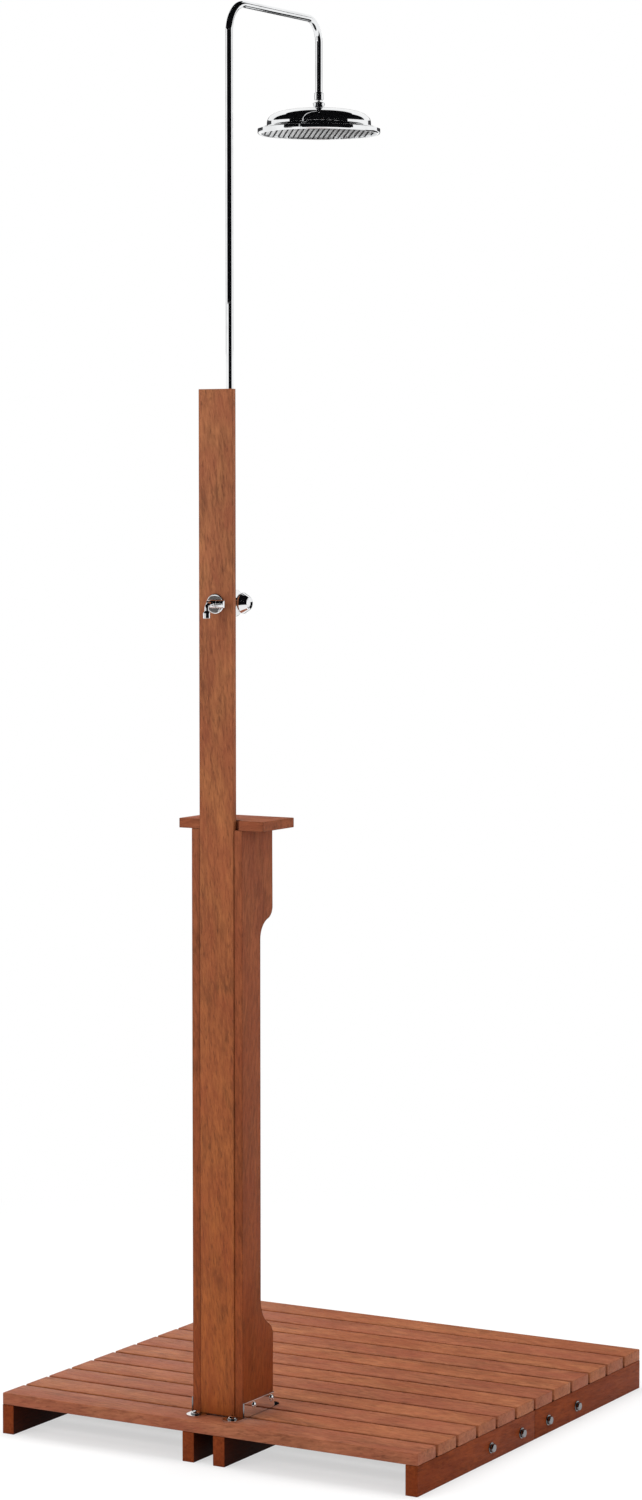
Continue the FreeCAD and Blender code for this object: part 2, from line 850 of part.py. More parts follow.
# ---------------------------------------------------------------- shoe brackets
def make_bracket(name, side):
    # a polished angle: its foot runs on under the panel to a round ear at each end
    label = "bracket_" + name
    body = add_body(label, ear_x * side, post_front, deck_top)
    foot = add_sketch(body, label + "_foot", "XY_Plane")
    front = -dims.ear_reach
    rear = dims.panel_depth + dims.ear_reach
    middle_front = front - ear_radius
    middle_rear = rear + ear_radius
    draw_outline(foot, [
        (-ear_radius, front, ear_radius, "left"),
        (0, middle_front, ear_radius, "left"),
        (ear_radius, front),
        (ear_radius, rear, ear_radius, "left"),
        (0, middle_rear, ear_radius, "left"),
        (-ear_radius, rear),
    ])
    pad(body, foot, dims.bracket_thickness)
    upright = add_sketch(body, label + "_leg", "XY_Plane")
    outer = ear_radius * side
    inner = (ear_radius - dims.bracket_thickness) * side
    low, high = (inner, outer) if side > 0 else (outer, inner)
    draw_outline(upright, rectangle(low, 0, high, dims.panel_depth))
    pad(body, upright, dims.bracket_leg_height)
    ears = add_sketch(body, label + "_ear_holes", "XY_Plane")
    for y in (front, rear):
        draw_circle(ears, 0, y, dims.anchor_radius + dims.bolt_hole_clearance)
    pocket(body, ears)
    bolts = add_sketch(body, label + "_bolt_holes", "YZ_Plane")
    for y in (dims.bracket_bolt_front, dims.bracket_bolt_rear):
        radius = dims.bracket_bolt_radius + dims.bolt_hole_clearance
        draw_circle(bolts, y, dims.bracket_bolt_height, radius)
    pocket(body, bolts)
    return body


for side_name, side_sign in sides:
    keep(make_bracket(side_name, side_sign))


# ---------------------------------------------------------------- fasteners
def domed_head(shank_radius, shank_length, head_radius, head_height):
    # a screw that points down from Z = 0, with a domed head above it
    bulge = (head_radius * head_radius + head_height * head_height) / (head_height * 2)
    return [
        (0, -shank_length),
        (shank_radius, -shank_length),
        (shank_radius, 0),
        (head_radius, 0, bulge, "left"),
        (0, head_height),
    ]


def flat_head(shank_radius, shank_length, head_radius, head_height):
    return [
        (0, -shank_length),
        (shank_radius, -shank_length),
        (shank_radius, 0),
        (head_radius, 0),
        (head_radius, head_height),
        (0, head_height),
    ]


def hex_bolt(label, shank_radius, shank_length, flats, height):
    body = add_body(label)
    head = add_sketch(body, label + "_head", "XY_Plane")
    draw_outline(head, hexagon(flats))
    pad(body, head, height)
    shank = add_sketch(body, label + "_shank", "XY_Plane")
    draw_circle(shank, 0, 0, shank_radius)
    pad(body, shank, shank_length, reverse=True)
    return body


def hex_nut(label, flats, height, hole_radius):
    body = add_body(label)
    plan = add_sketch(body, label + "_plan", "XY_Plane")
    draw_outline(plan, hexagon(flats))
    draw_circle(plan, 0, 0, hole_radius)
    pad(body, plan, height)
    return body


def washer(label, radius, thickness, hole_radius):
    return turned(label, rectangle(hole_radius, 0, radius, thickness))


splice_grip = dims.washer_thickness + dims.joist_width + dims.cleat_thickness + dims.splice_nut_height
bracket_grip = dims.bracket_thickness + dims.panel_thickness + dims.bracket_nut_height
union_nut_radius = dims.flange_distance - dims.union_nut_clearance
masters = {
    "deck_screws": turned("deck_screw", flat_head(
        dims.deck_screw_radius, dims.deck_screw_grip + dims.deck_screw_bite,
        dims.deck_screw_head_radius, dims.deck_screw_head_height)),
    "splice_bolts": hex_bolt("splice_bolt", dims.splice_bolt_radius, splice_grip,
                             dims.splice_head_flats, dims.splice_head_height),
    "splice_nuts": hex_nut("splice_nut", dims.splice_head_flats, dims.splice_nut_height,
                           dims.splice_bolt_radius),
    "washers": washer("washer", dims.washer_radius, dims.washer_thickness, dims.splice_bolt_radius),
    "rail_dowels": turned("dowel", rectangle(
        0, 0, dims.dowel_radius, dims.dowel_in_panel + dims.dowel_in_rail)),
    "rail_screws": turned("rail_screw", flat_head(
        dims.rail_screw_radius, dims.rail_screw_grip + dims.rail_screw_bite,
        dims.rail_screw_head_radius, dims.rail_screw_head_height)),
    "bracket_bolts": turned("bracket_bolt", domed_head(
        dims.bracket_bolt_radius, bracket_grip, dims.bracket_head_radius, dims.bracket_head_height)),
    "bracket_nuts": hex_nut("bracket_nut", dims.bracket_nut_flats, dims.bracket_nut_height,
                            dims.bracket_bolt_radius),
    "anchor_screws": turned("anchor_screw", domed_head(
        dims.anchor_radius, dims.anchor_depth + dims.bracket_thickness + dims.washer_thickness,
        dims.anchor_head_radius, dims.anchor_head_height)),
    "clip_screws": turned("clip_screw", flat_head(
        dims.clip_screw_radius, dims.clip_screw_length,
        dims.clip_screw_head_radius, dims.clip_screw_head_height)),
    "union_nuts": turned("union_nut", [
        (dims.pipe_radius, 0),
        (union_nut_radius - dims.union_nut_chamfer, 0),
        (union_nut_radius, dims.union_nut_chamfer),
        (union_nut_radius, dims.union_nut_height - dims.union_nut_shoulder),
        (union_nut_radius - dims.union_nut_shoulder, dims.union_nut_height),
        (dims.pipe_radius, dims.union_nut_height),
    ]),
}


def at(x, y, z, direction):
    spot = Vector(as_size(x).number, as_size(y).number, as_size(z).number)
    return Placement(spot, Rotation(UP, direction))


places = {label: [] for label in masters}
for line_name, line_x in joist_lines:
    for slat_index in range(slat_total):
        screw_y = slat_front(slat_index) + screw_inset(line_name)
        head_level = dims.joist_height - dims.deck_screw_grip
        places["deck_screws"].append(at(line_x, screw_y, head_level, -UP))
for _, side in sides:
    outward_way = RIGHT if side > 0 else LEFT
    inward_way = LEFT if side > 0 else RIGHT
    face_x = dims.deck_width / 2 * side
    cleat_x = (dims.deck_width / 2 - dims.joist_width - dims.cleat_thickness) * side
    for reach in (-dims.splice_bolt_far, -dims.splice_bolt_near, dims.splice_bolt_near, dims.splice_bolt_far):
        y = half_line + reach
        z = dims.splice_bolt_height
        places["washers"].append(at(face_x, y, z, outward_way))
        places["splice_bolts"].append(at(face_x + dims.washer_thickness * side, y, z, outward_way))
        places["splice_nuts"].append(at(cleat_x, y, z, inward_way))
    for y in (dims.bracket_bolt_front, dims.bracket_bolt_rear):
        level = deck_top + dims.bracket_bolt_height
        places["bracket_bolts"].append(at(bracket_outer * side, post_front + y, level, outward_way))
        places["bracket_nuts"].append(at(cabinet_inner * side, post_front + y, level, inward_way))
    for y in (ear_front, ear_rear):
        places["washers"].append(at(ear_x * side, y, post_base, UP))
        places["anchor_screws"].append(at(ear_x * side, y, post_base + dims.washer_thickness, UP))
    for base in (rail_bottom_base, rail_top_base):
        for z in dowel_heights(base):
            start = (cabinet_inner + dims.dowel_in_panel) * side
            places["rail_dowels"].append(at(start, dowel_y, post_base + z, inward_way))
        screw_x = dims.rail_screw_spacing / 2 * side
        screw_y = board_back + dims.rail_screw_grip
        places["rail_screws"].append(at(screw_x, screw_y, base + dims.rail_height / 2, BACK))
    shelf_screw_z = shelf_base - dims.rail_screw_grip
    places["rail_screws"].append(at(dims.rail_screw_spacing / 2 * side, dowel_y, shelf_screw_z, -UP))
    for height in (clip_low, dims.clip_high):
        z = height + dims.clip_screw_spacing / 2 * side
        places["clip_screws"].append(at(0, board_back + dims.clip_plate_thickness, z, BACK))
    nut_z = dims.valve_height + (dims.valve_half_height + dims.union_nut_gap) * side
    places["union_nuts"].append(at(0, pipe_y, nut_z, UP if side > 0 else -UP))


# ---------------------------------------------------------------- pipework
def make_lower_riser():
    low = dims.inlet_height
    high = dims.valve_height - dims.valve_half_height + dims.valve_socket
    return turned("lower_riser", rectangle(pipe_bore, 0, dims.pipe_radius, high - low), 0, pipe_y, low)


def make_riser_arm():
    # the riser above the valve, bent over into the arm and down to the shower head
    start = dims.valve_height + dims.valve_half_height - dims.valve_socket
    body = add_body("riser_arm", 0, pipe_y, start)
    path = add_sketch(body, "arm_path", "YZ_Plane")
    top = dims.arm_height - start
    draw_outline(path, [
        (0, 0),
        (0, top - dims.riser_bend, dims.riser_bend, "right"),
        (dims.riser_bend, top),
        (dims.arm_reach - dims.drop_bend, top, dims.drop_bend, "right"),
        (dims.arm_reach, top - dims.drop_bend),
        (dims.arm_reach, arm_end - start),
    ], closed=False)
    ring = add_sketch(body, "arm_section", "XY_Plane")
    draw_circle(ring, 0, 0, dims.pipe_radius)
    draw_circle(ring, 0, 0, pipe_bore)
    pipe = body.newObject("PartDesign::AdditivePipe", "arm_pipe")
    pipe.Profile = ring
    pipe.Spine = path
    return body


def make_clip(height, name):
    ring_radius = dims.pipe_radius + dims.clip_wall
    base = height - dims.clip_height / 2
    plate = block(name + "_plate", dims.clip_plate_width, dims.clip_plate_thickness, dims.clip_plate_height,
                  -dims.clip_plate_width / 2, board_back, height - dims.clip_plate_height / 2)
    stem = rod(name + "_stem", dims.clip_stem_radius, board_reach - dims.pipe_radius,
               0, board_back, height, BACK)
    ring = rod(name + "_ring", ring_radius, dims.clip_height, 0, pipe_y, base, UP)
    bore = rod(name + "_bore", dims.pipe_radius, dims.clip_height, 0, pipe_y, base, UP)
    tools = [bore]
    for sign in (-1, 1):
        tools.append(rod("%s_hole_%d" % (name, sign + 1), dims.clip_screw_radius, dims.clip_plate_thickness,
                         0, board_back, height + dims.clip_screw_spacing / 2 * sign, BACK))
    return cut(name, fuse(name + "_solid", [plate, stem, ring]), tools)


def make_inlet_elbow():
    # an upright socket for the riser, with a threaded male end towards the back
    low = dims.inlet_height - dims.elbow_below
    tall = dims.elbow_below + dims.elbow_socket
    centre = low + dims.elbow_centre
    shoulder_end = dims.elbow_branch_length + dims.inlet_shoulder_length
    length = shoulder_end + dims.inlet_thread_length
    branch = turned("elbow_branch", [
        (0, 0),
        (dims.elbow_branch_radius, 0),
        (dims.elbow_branch_radius, dims.elbow_branch_length),
        (dims.inlet_shoulder_radius, dims.elbow_branch_length),
        (dims.inlet_shoulder_radius, shoulder_end),
        (dims.inlet_thread_radius, shoulder_end),
        (dims.inlet_thread_radius, length),
        (0, length),
    ], 0, pipe_y, centre, Rotation(UP, BACK))
    upright = rod("elbow_upright", dims.elbow_radius, tall, 0, pipe_y, low, UP)
    socket = rod("elbow_socket", dims.pipe_radius, dims.elbow_socket, 0, pipe_y, dims.inlet_height, UP)
    down = rod("elbow_down", pipe_bore, dims.inlet_height - centre, 0, pipe_y, centre, UP)
    across = rod("elbow_across", dims.inlet_bore, length, 0, pipe_y, centre, BACK)
    return cut("inlet_elbow", fuse("elbow_solid", [upright, branch]), [socket, down, across])


keep(make_lower_riser())
keep(make_riser_arm())
keep(make_inlet_elbow())
clips = [make_clip(clip_low, "clip_low_part"), make_clip(dims.clip_high, "clip_high_part")]

# ---------------------------------------------------------------- shower valve
valve_low = dims.valve_height - dims.valve_half_height
valve_high = dims.valve_height + dims.valve_half_height
neck_start = dims.flange_distance + dims.flange_thickness
neck_end = neck_start + dims.neck_length
handle_start = neck_end + dims.handle_gap


def make_valve_body():
    z = dims.valve_height
    height = dims.valve_half_height * 2
    flange_start = dims.flange_distance
    solid = fuse("valve_solid", [
        rod("valve_barrel", dims.valve_radius, height, 0, pipe_y, valve_low, UP),
        rod("valve_boss", dims.valve_boss_radius, flange_start, 0, pipe_y, z, RIGHT),
        rod("valve_flange", dims.flange_radius, dims.flange_thickness, flange_start, pipe_y, z, RIGHT),
        rod("valve_neck", dims.neck_radius, dims.neck_length, neck_start, pipe_y, z, RIGHT),
        rod("valve_branch", dims.branch_radius, board_reach, 0, pipe_y, z, FRONT),
    ])
    spindle_bore = dims.spindle_radius + dims.spindle_clearance
    spigot_socket = dims.spigot_radius + dims.spigot_clearance
    return cut("valve_body", solid, [
        rod("valve_low_socket", dims.pipe_radius, dims.valve_socket, 0, pipe_y, valve_low, UP),
        rod("valve_high_socket", dims.pipe_radius, dims.valve_socket, 0, pipe_y, valve_high, -UP),
        rod("valve_passage", dims.valve_passage, height, 0, pipe_y, valve_low, UP),
        rod("valve_tap_way", dims.tap_passage, board_reach, 0, pipe_y, z, FRONT),
        rod("valve_tap_socket", spigot_socket, dims.spigot_depth, 0, board_back, z, BACK),
        rod("valve_spindle_bore", spindle_bore, dims.spindle_in_body, neck_end, pipe_y, z, LEFT),
    ])


across_turn = Rotation(UP, RIGHT)
keep(make_valve_body())
keep(turned("shower_spindle", rectangle(
    0, -dims.spindle_in_body, dims.spindle_radius, dims.spindle_in_handle + dims.handle_gap),
    neck_end, pipe_y, dims.valve_height, across_turn))
keep(turned("shower_handle", [
    (0, dims.spindle_in_handle),
    (dims.spindle_radius, dims.spindle_in_handle),
    (dims.spindle_radius, 0),
    (dims.handle_base_radius - dims.handle_edge_round, 0),
    (dims.handle_base_radius, dims.handle_edge_round),
    (dims.handle_tip_radius, dims.handle_length - dims.handle_edge_round),
    (dims.handle_tip_radius - dims.handle_edge_round, dims.handle_length),
    (0, dims.handle_length),
], handle_start, pipe_y, dims.valve_height, across_turn))

# ---------------------------------------------------------------- bib tap
tap_axis_y = board_front - dims.tap_barrel_distance
spout_y = board_front - dims.spout_distance
outlet_z = dims.valve_height - dims.spout_drop


def make_spout(name, radius):
    # the bent tube of the spout, from inside the barrel to the top of its flare
    body = add_body(name, 0, spout_y, outlet_z)
    path = add_sketch(body, name + "_path", "YZ_Plane")
    draw_outline(path, [
        (0, dims.outlet_length),
        (0, dims.spout_drop - dims.spout_bend, dims.spout_bend, "right"),
        (dims.spout_bend, dims.spout_drop),
        (tap_axis_y - spout_y, dims.spout_drop),
    ], closed=False)
    section = add_sketch(body, name + "_section", "XY_Plane", dims.outlet_length)
    draw_circle(section, 0, 0, radius)
    pipe = body.newObject("PartDesign::AdditivePipe", name + "_pipe")
    pipe.Profile = section
    pipe.Spine = path
    return body


def make_tap_body():
    z = dims.valve_height
    spigot_start = board_back + dims.spigot_depth
    barrel_length = dims.tap_barrel_left + dims.tap_barrel_right
    flare = doc.addObject("Part::Cone", "spout_flare")
    bind(flare, "Radius1", dims.outlet_radius)
    bind(flare, "Radius2", dims.spout_radius)
    bind(flare, "Height", dims.outlet_flare)
    place(flare, 0, spout_y, outlet_z + dims.outlet_length)
    solid = fuse("tap_solid", [
        rod("tap_spigot", dims.spigot_radius, spigot_start - tap_axis_y, 0, tap_axis_y, z, BACK),
        rod("tap_barrel", dims.tap_barrel_radius, barrel_length, -dims.tap_barrel_left, tap_axis_y, z, RIGHT),
        make_spout("spout_tube", dims.spout_radius),
        flare,
        rod("spout_outlet", dims.outlet_radius, dims.outlet_length, 0, spout_y, outlet_z, UP),
    ])
    bore = dims.tap_spindle_radius + dims.spindle_clearance
    mouth = dims.outlet_radius - dims.outlet_wall
    return cut("tap_body", solid, [
        rod("tap_way", dims.tap_passage, spigot_start - tap_axis_y, 0, tap_axis_y, z, BACK),
        make_spout("spout_way", dims.spout_bore),
        rod("spout_mouth", mouth, dims.outlet_length, 0, spout_y, outlet_z, UP),
        rod("tap_spindle_bore", bore, dims.tap_spindle_in_body, dims.tap_barrel_right, tap_axis_y, z, LEFT),
    ])


keep(make_tap_body())
keep(turned("tap_escutcheon", [
    (dims.spigot_radius, 0),
    (dims.escutcheon_radius, 0),
    (dims.escutcheon_radius, dims.escutcheon_thickness - dims.escutcheon_round),
    (dims.escutcheon_radius - dims.escutcheon_round, dims.escutcheon_thickness),
    (dims.spigot_radius, dims.escutcheon_thickness),
], 0, board_front, dims.valve_height, Rotation(UP, FRONT)))
keep(turned("tap_spindle", rectangle(
    0, -dims.tap_spindle_in_body, dims.tap_spindle_radius, dims.tap_spindle_in_handle + dims.tap_handle_gap),
    dims.tap_barrel_right, tap_axis_y, dims.valve_height, across_turn))
keep(turned("tap_handle", [
    (0, dims.tap_spindle_in_handle),
    (dims.tap_spindle_radius, dims.tap_spindle_in_handle),
    (dims.tap_spindle_radius, 0),
    (dims.tap_barrel_radius, 0),
    (dims.tap_barrel_radius, dims.tap_handle_length - dims.tap_handle_round),
    (dims.tap_barrel_radius - dims.tap_handle_round, dims.tap_handle_length),
    (0, dims.tap_handle_length),
], dims.tap_barrel_right + dims.tap_handle_gap, tap_axis_y, dims.valve_height, across_turn))


# ---------------------------------------------------------------- ball joint
def on_head(label, corners):
    # every piece of the shower head is turned about the upright line through the ball
    return keep(turned(label, corners, 0, head_y, ball_height))


def spherical_ring(inner, outer, low, high):
    return [
        (leg(inner, low), low),
        (leg(outer, low), low, outer, "left"),
        (leg(outer, high), high),
        (leg(inner, high), high, inner, "right"),
    ]


ring_inner = dims.ball_radius + dims.ring_gap
ring_outer = ring_inner + dims.ring_wall
socket_radius = ring_outer + dims.ring_gap
stem_shoulder = dims.collar_low + dims.collar_lip

on_head("ball_stem", [
    (dims.ball_bore, -leg(dims.ball_radius, dims.ball_bore), dims.ball_radius, "left"),
    (dims.stem_radius, leg(dims.ball_radius, dims.stem_radius)),
    (dims.stem_radius, stem_shoulder),
    (dims.collar_thread_radius, stem_shoulder),
    (dims.collar_thread_radius, dims.collar_joint),
    (dims.ball_bore, dims.collar_joint),
])
on_head("arm_collar", [
    (dims.collar_throat_radius, dims.collar_low),
    (dims.collar_radius - dims.collar_chamfer, dims.collar_low),
    (dims.collar_radius, dims.collar_low + dims.collar_chamfer),
    (dims.collar_radius, dims.collar_high - dims.collar_chamfer),
    (dims.collar_radius - dims.collar_chamfer, dims.collar_high),
    (dims.pipe_radius, dims.collar_high),
    (dims.pipe_radius, dims.collar_joint),
    (dims.collar_thread_radius, dims.collar_joint),
    (dims.collar_thread_radius, stem_shoulder),
    (dims.collar_throat_radius, stem_shoulder),
])
on_head("ball_seat", spherical_ring(ring_inner, ring_outer, -dims.seat_low, -dims.seat_high))
on_head("slide_ring", spherical_ring(ring_inner, ring_outer, dims.slide_low, dims.slide_high))
on_head("socket_nut", [
    (dims.hub_radius + dims.hub_thread_gap, -dims.nut_below),
    (leg(dims.nut_radius, dims.nut_below), -dims.nut_below, dims.nut_radius, "left"),
    (leg(dims.nut_radius, dims.nut_above), dims.nut_above),
    (leg(socket_radius, dims.nut_above), dims.nut_above, socket_radius, "right"),
    (socket_radius, 0),
    (dims.hub_radius + dims.hub_thread_gap, 0),
])


# ---------------------------------------------------------------- overhead shower
def make_dome():
    crown_z = -dims.dome_top - dims.dome_crown_radius
    shoulder_x = dims.dome_radius - dims.dome_shoulder_radius
    spread = dims.dome_crown_radius - dims.dome_shoulder_radius
    shoulder_rise = leg(spread, shoulder_x)
    shoulder_z = crown_z + shoulder_rise
    base = -dims.dome_top - dims.dome_height
    skirt_base = base - dims.skirt_height
    inner_crown = dims.dome_crown_radius - dims.dome_wall
    inner_shoulder = dims.dome_shoulder_radius - dims.dome_wall
    inner_radius = dims.dome_radius - dims.dome_wall
    outer_share = dims.dome_crown_radius / spread
    inner_share = inner_crown / spread
    boss_bottom = -dims.dome_boss_depth
    return on_head("head_dome", [
        (dims.dome_bore, boss_bottom),
        (dims.dome_boss_radius, boss_bottom),
        (dims.dome_boss_radius, crown_z + leg(inner_crown, dims.dome_boss_radius), inner_crown, "right"),
        (shoulder_x * inner_share, crown_z + shoulder_rise * inner_share, inner_shoulder, "right"),
        (inner_radius, shoulder_z),
        (inner_radius, skirt_base),
        (dims.dome_radius + dims.skirt_width, skirt_base),
        (dims.dome_radius, base),
        (dims.dome_radius, shoulder_z, dims.dome_shoulder_radius, "left"),
        (shoulder_x * outer_share, crown_z + shoulder_rise * outer_share, dims.dome_crown_radius, "left"),
        (dims.hub_radius, crown_z + leg(dims.dome_crown_radius, dims.hub_radius)),
        (dims.hub_radius, 0),
        (socket_radius, 0, socket_radius, "right"),
        (dims.dome_bore, -leg(socket_radius, dims.dome_bore)),
    ])


rim_top = -dims.dome_top - dims.dome_height - dims.skirt_height
rim_low = rim_top - dims.rim_height
rim_inner = dims.rim_radius - dims.rim_wall
ledge_top = rim_low + dims.rim_ledge_height


def make_rim_ring():
    # a ring with a groove inside that holds the edge of the spray plate
    flange_inner = dims.dome_radius - dims.dome_wall
    flange_low = rim_top - dims.rim_flange_height
    ledge_inner = rim_inner - dims.rim_ledge
    return on_head("rim_ring", [
        (ledge_inner, rim_low),
        (dims.rim_radius - dims.rim_low_round, rim_low, dims.rim_low_round, "left"),
        (dims.rim_radius, rim_low + dims.rim_low_round),
        (dims.rim_radius, rim_top - dims.rim_top_round, dims.rim_top_round, "left"),
        (dims.rim_radius - dims.rim_top_round, rim_top),
        (flange_inner, rim_top),
        (flange_inner, flange_low),
        (rim_inner, flange_low),
        (rim_inner, ledge_top),
        (ledge_inner, ledge_top),
    ])


def nozzle_points():
    # a square grid of nozzles inside a round field
    pitch = dims.nozzle_pitch.number
    field = dims.nozzle_field_radius.number
    reach = int(field / pitch) + 1
    points = []
    for column in range(-reach, reach + 1):
        for line in range(-reach, reach + 1):
            x = (column + 0.5) * pitch
            y = (line + 0.5) * pitch
            if math.hypot(x, y) <= field:
                points.append((x, y))
    return points


def make_spray_plate():
    # one moulded plate with its nozzles, turned on the ball joint away from the deck's lines
    plate_radius = rim_inner.number - dims.spray_plate_gap.number
    thickness = dims.spray_plate_thickness.number
    length = dims.nozzle_length.number
    plate = Part.makeCylinder(plate_radius, thickness)
    nozzles = []
    for x, y in nozzle_points():
        nozzle = Part.makeCone(dims.nozzle_root_radius.number, dims.nozzle_tip_radius.number, length,
                               Vector(x, y, 0), -UP)
        nozzles.append(nozzle)
    item = doc.addObject("Part::Feature", "spray_plate")
    item.Label = "spray_plate"
    item.Shape = plate.fuse(nozzles)
    level = ball_height.number + ledge_top.number
    item.Placement = Placement(Vector(0, head_y.number, level), Rotation(UP, dims.nozzle_grid_turn.number))
    return item


make_dome()
make_rim_ring()
keep(make_spray_plate())

# ---------------------------------------------------------------- groups of like pieces
doc.recompute()


def make_group(label, shapes):
    item = doc.addObject("Part::Feature", label)
    item.Label = label
    item.Shape = Part.makeCompound(shapes)
    return item


for label, master in masters.items():
    copies = []
    for spot in places[label]:
        copy = master.Shape.copy()
        copy.Placement = spot
        copies.append(copy)
    keep(make_group(label, copies))
keep(make_group("pipe_clips", [clip.Shape.copy() for clip in clips]))
doc.recompute()

# ---------------------------------------------------------------- checks and files
for item in doc.Objects:
    if "Invalid" in item.State or "Error" in item.State:
        raise RuntimeError("%s failed: %s" % (item.Label, item.State))
os.makedirs("parts", exist_ok=True)
for item in sub_parts:
    shape = item.Shape
    if shape.isNull() or not shape.isValid() or not shape.Solids:
        raise RuntimeError("%s has no valid solid" % item.Label)
for item in sub_parts:
    item.Shape.exportStep("parts/%s.step" % item.Label)
print("%d sub-parts written" % len(sub_parts))
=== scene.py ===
import bmesh
import bpy
import math
from mathutils import Euler, Matrix, Vector


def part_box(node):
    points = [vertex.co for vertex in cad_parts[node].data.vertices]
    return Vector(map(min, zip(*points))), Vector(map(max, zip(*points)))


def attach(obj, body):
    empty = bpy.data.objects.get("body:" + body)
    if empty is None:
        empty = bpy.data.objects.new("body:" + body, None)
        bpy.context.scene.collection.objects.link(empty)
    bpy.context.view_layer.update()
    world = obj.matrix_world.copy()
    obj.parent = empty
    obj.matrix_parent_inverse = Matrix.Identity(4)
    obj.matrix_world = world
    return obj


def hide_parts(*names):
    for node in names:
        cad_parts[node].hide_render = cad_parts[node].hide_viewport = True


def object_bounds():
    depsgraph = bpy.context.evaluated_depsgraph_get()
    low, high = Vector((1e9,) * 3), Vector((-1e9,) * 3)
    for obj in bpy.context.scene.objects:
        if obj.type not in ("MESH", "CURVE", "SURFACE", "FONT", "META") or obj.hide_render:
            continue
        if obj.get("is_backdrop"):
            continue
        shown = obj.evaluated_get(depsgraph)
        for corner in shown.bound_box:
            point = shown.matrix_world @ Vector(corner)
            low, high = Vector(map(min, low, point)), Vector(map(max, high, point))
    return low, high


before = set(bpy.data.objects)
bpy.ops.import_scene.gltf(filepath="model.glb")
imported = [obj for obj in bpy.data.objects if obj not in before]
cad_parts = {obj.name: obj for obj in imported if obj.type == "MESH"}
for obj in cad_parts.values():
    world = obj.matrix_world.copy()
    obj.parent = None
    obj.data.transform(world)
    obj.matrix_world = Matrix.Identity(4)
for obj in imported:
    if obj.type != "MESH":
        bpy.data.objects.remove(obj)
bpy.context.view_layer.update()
print("frame loaded")

mm = 0.001
up = Vector((0, 0, 1))
right = Vector((1, 0, 0))
back = Vector((0, 1, 0))


def linear(*colour):
    # a colour as seen on a screen, 0 to 255, in the renderer's linear light
    shares = [channel / 255 for channel in colour]
    return (*(share / 12.92 if share <= 0.04045 else ((share + 0.055) / 1.055) ** 2.4 for share in shares), 1)


def nodeBox(node):
    low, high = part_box(node)
    return Vector(low), Vector(high)


def nodeMiddle(node):
    low, high = nodeBox(node)
    return (low + high) / 2


def boxEnd(low, high, way):
    # the middle of the face where a box ends in a direction
    return (low + high) / 2 + way * abs((high - low).dot(way)) / 2


# mesh helpers

def addPiece(name, mesh, smoothAngle=35):
    # links a bmesh as an object, smooth except where it turns sharply
    data = bpy.data.meshes.new(name)
    bmesh.ops.recalc_face_normals(mesh, faces=mesh.faces)
    mesh.to_mesh(data)
    mesh.free()
    for polygon in data.polygons:
        polygon.use_smooth = True
    data.set_sharp_from_angle(angle=math.radians(smoothAngle))
    piece = bpy.data.objects.new(name, data)
    bpy.context.scene.collection.objects.link(piece)
    return piece


def arcPoints(centre, radius, startAngle, endAngle, steps):
    points = []
    for index in range(steps + 1):
        angle = startAngle + (endAngle - startAngle) * index / steps
        points.append((centre[0] + radius * math.cos(angle), centre[1] + radius * math.sin(angle)))
    return points


def roundCorners(corners, steps=6, closed=True):
    # corners are (x, y) or (x, y, radius): the ones with a radius become arcs
    points = []
    count = len(corners)
    for index, corner in enumerate(corners):
        here = Vector(corner[:2])
        atEnd = not closed and index in (0, count - 1)
        if len(corner) == 2 or corner[2] <= 0 or atEnd:
            points.append(here)
            continue
        before = (Vector(corners[index - 1][:2]) - here).normalized()
        after = (Vector(corners[(index + 1) % count][:2]) - here).normalized()
        half = math.acos(max(-1, min(1, before.dot(after)))) / 2
        reach = corner[2] / math.tan(half)
        start = here + before * reach
        end = here + after * reach
        centre = here + (before + after).normalized() * (corner[2] / math.sin(half))
        first = math.atan2(start.y - centre.y, start.x - centre.x)
        turn = math.atan2(end.y - centre.y, end.x - centre.x) - first
        turn = (turn + math.pi) % (2 * math.pi) - math.pi
        for x, y in arcPoints(centre, corner[2], first, first + turn, steps):
            points.append(Vector((x, y)))
    return points


def bridge(mesh, first, second):
    count = len(first)
    for index in range(count):
        following = (index + 1) % count
        mesh.faces.new((first[index], first[following], second[following], second[index]))


def circleRing(radius, steps=24):
    return arcPoints((0, 0), radius, 0, 2 * math.pi * (steps - 1) / steps, steps - 1)


def ringAt(mesh, points, height, place):
    return [mesh.verts.new(place @ Vector((x, y, height))) for x, y in points]


def turnedMesh(mesh, profile, place, steps=96):
    # turns a closed profile of (radius, height) about an axis; place is a matrix
    rings = []
    for radius, height in profile:
        rings.append(ringAt(mesh, circleRing(radius, steps) if radius > 1e-7 else [(0, 0)], height, place))
    for first, second in zip(rings, rings[1:] + rings[:1]):
        if len(first) > 1 and len(second) > 1:
            bridge(mesh, first, second)
        elif len(first) + len(second) > 2:
            tip, ring = (first[0], second) if len(first) == 1 else (second[0], first)
            for index in range(steps):
                mesh.faces.new((tip, ring[index], ring[(index + 1) % steps]))


def placeAlong(spot, direction):
    turn = up.rotation_difference(direction).to_matrix().to_4x4()
    return Matrix.Translation(spot) @ turn


def mergeTurned(mesh, corners, spot, direction=up, steps=96, roundSteps=5):
    # adds a turned form whose corners, (radius, height) or (radius, height, rounding), are in millimetres
    profile = [(point.x * mm, point.y * mm) for point in roundCorners(corners, roundSteps)]
    turnedMesh(mesh, profile, placeAlong(spot, direction), steps)


def easeEdges(mesh, edges, bevel, steps=3, profile=0.5):
    # a profile of 0.5 is round, and less is cut in
    bmesh.ops.bevel(mesh, geom=edges, offset=bevel, segments=steps, profile=profile, affect="EDGES")


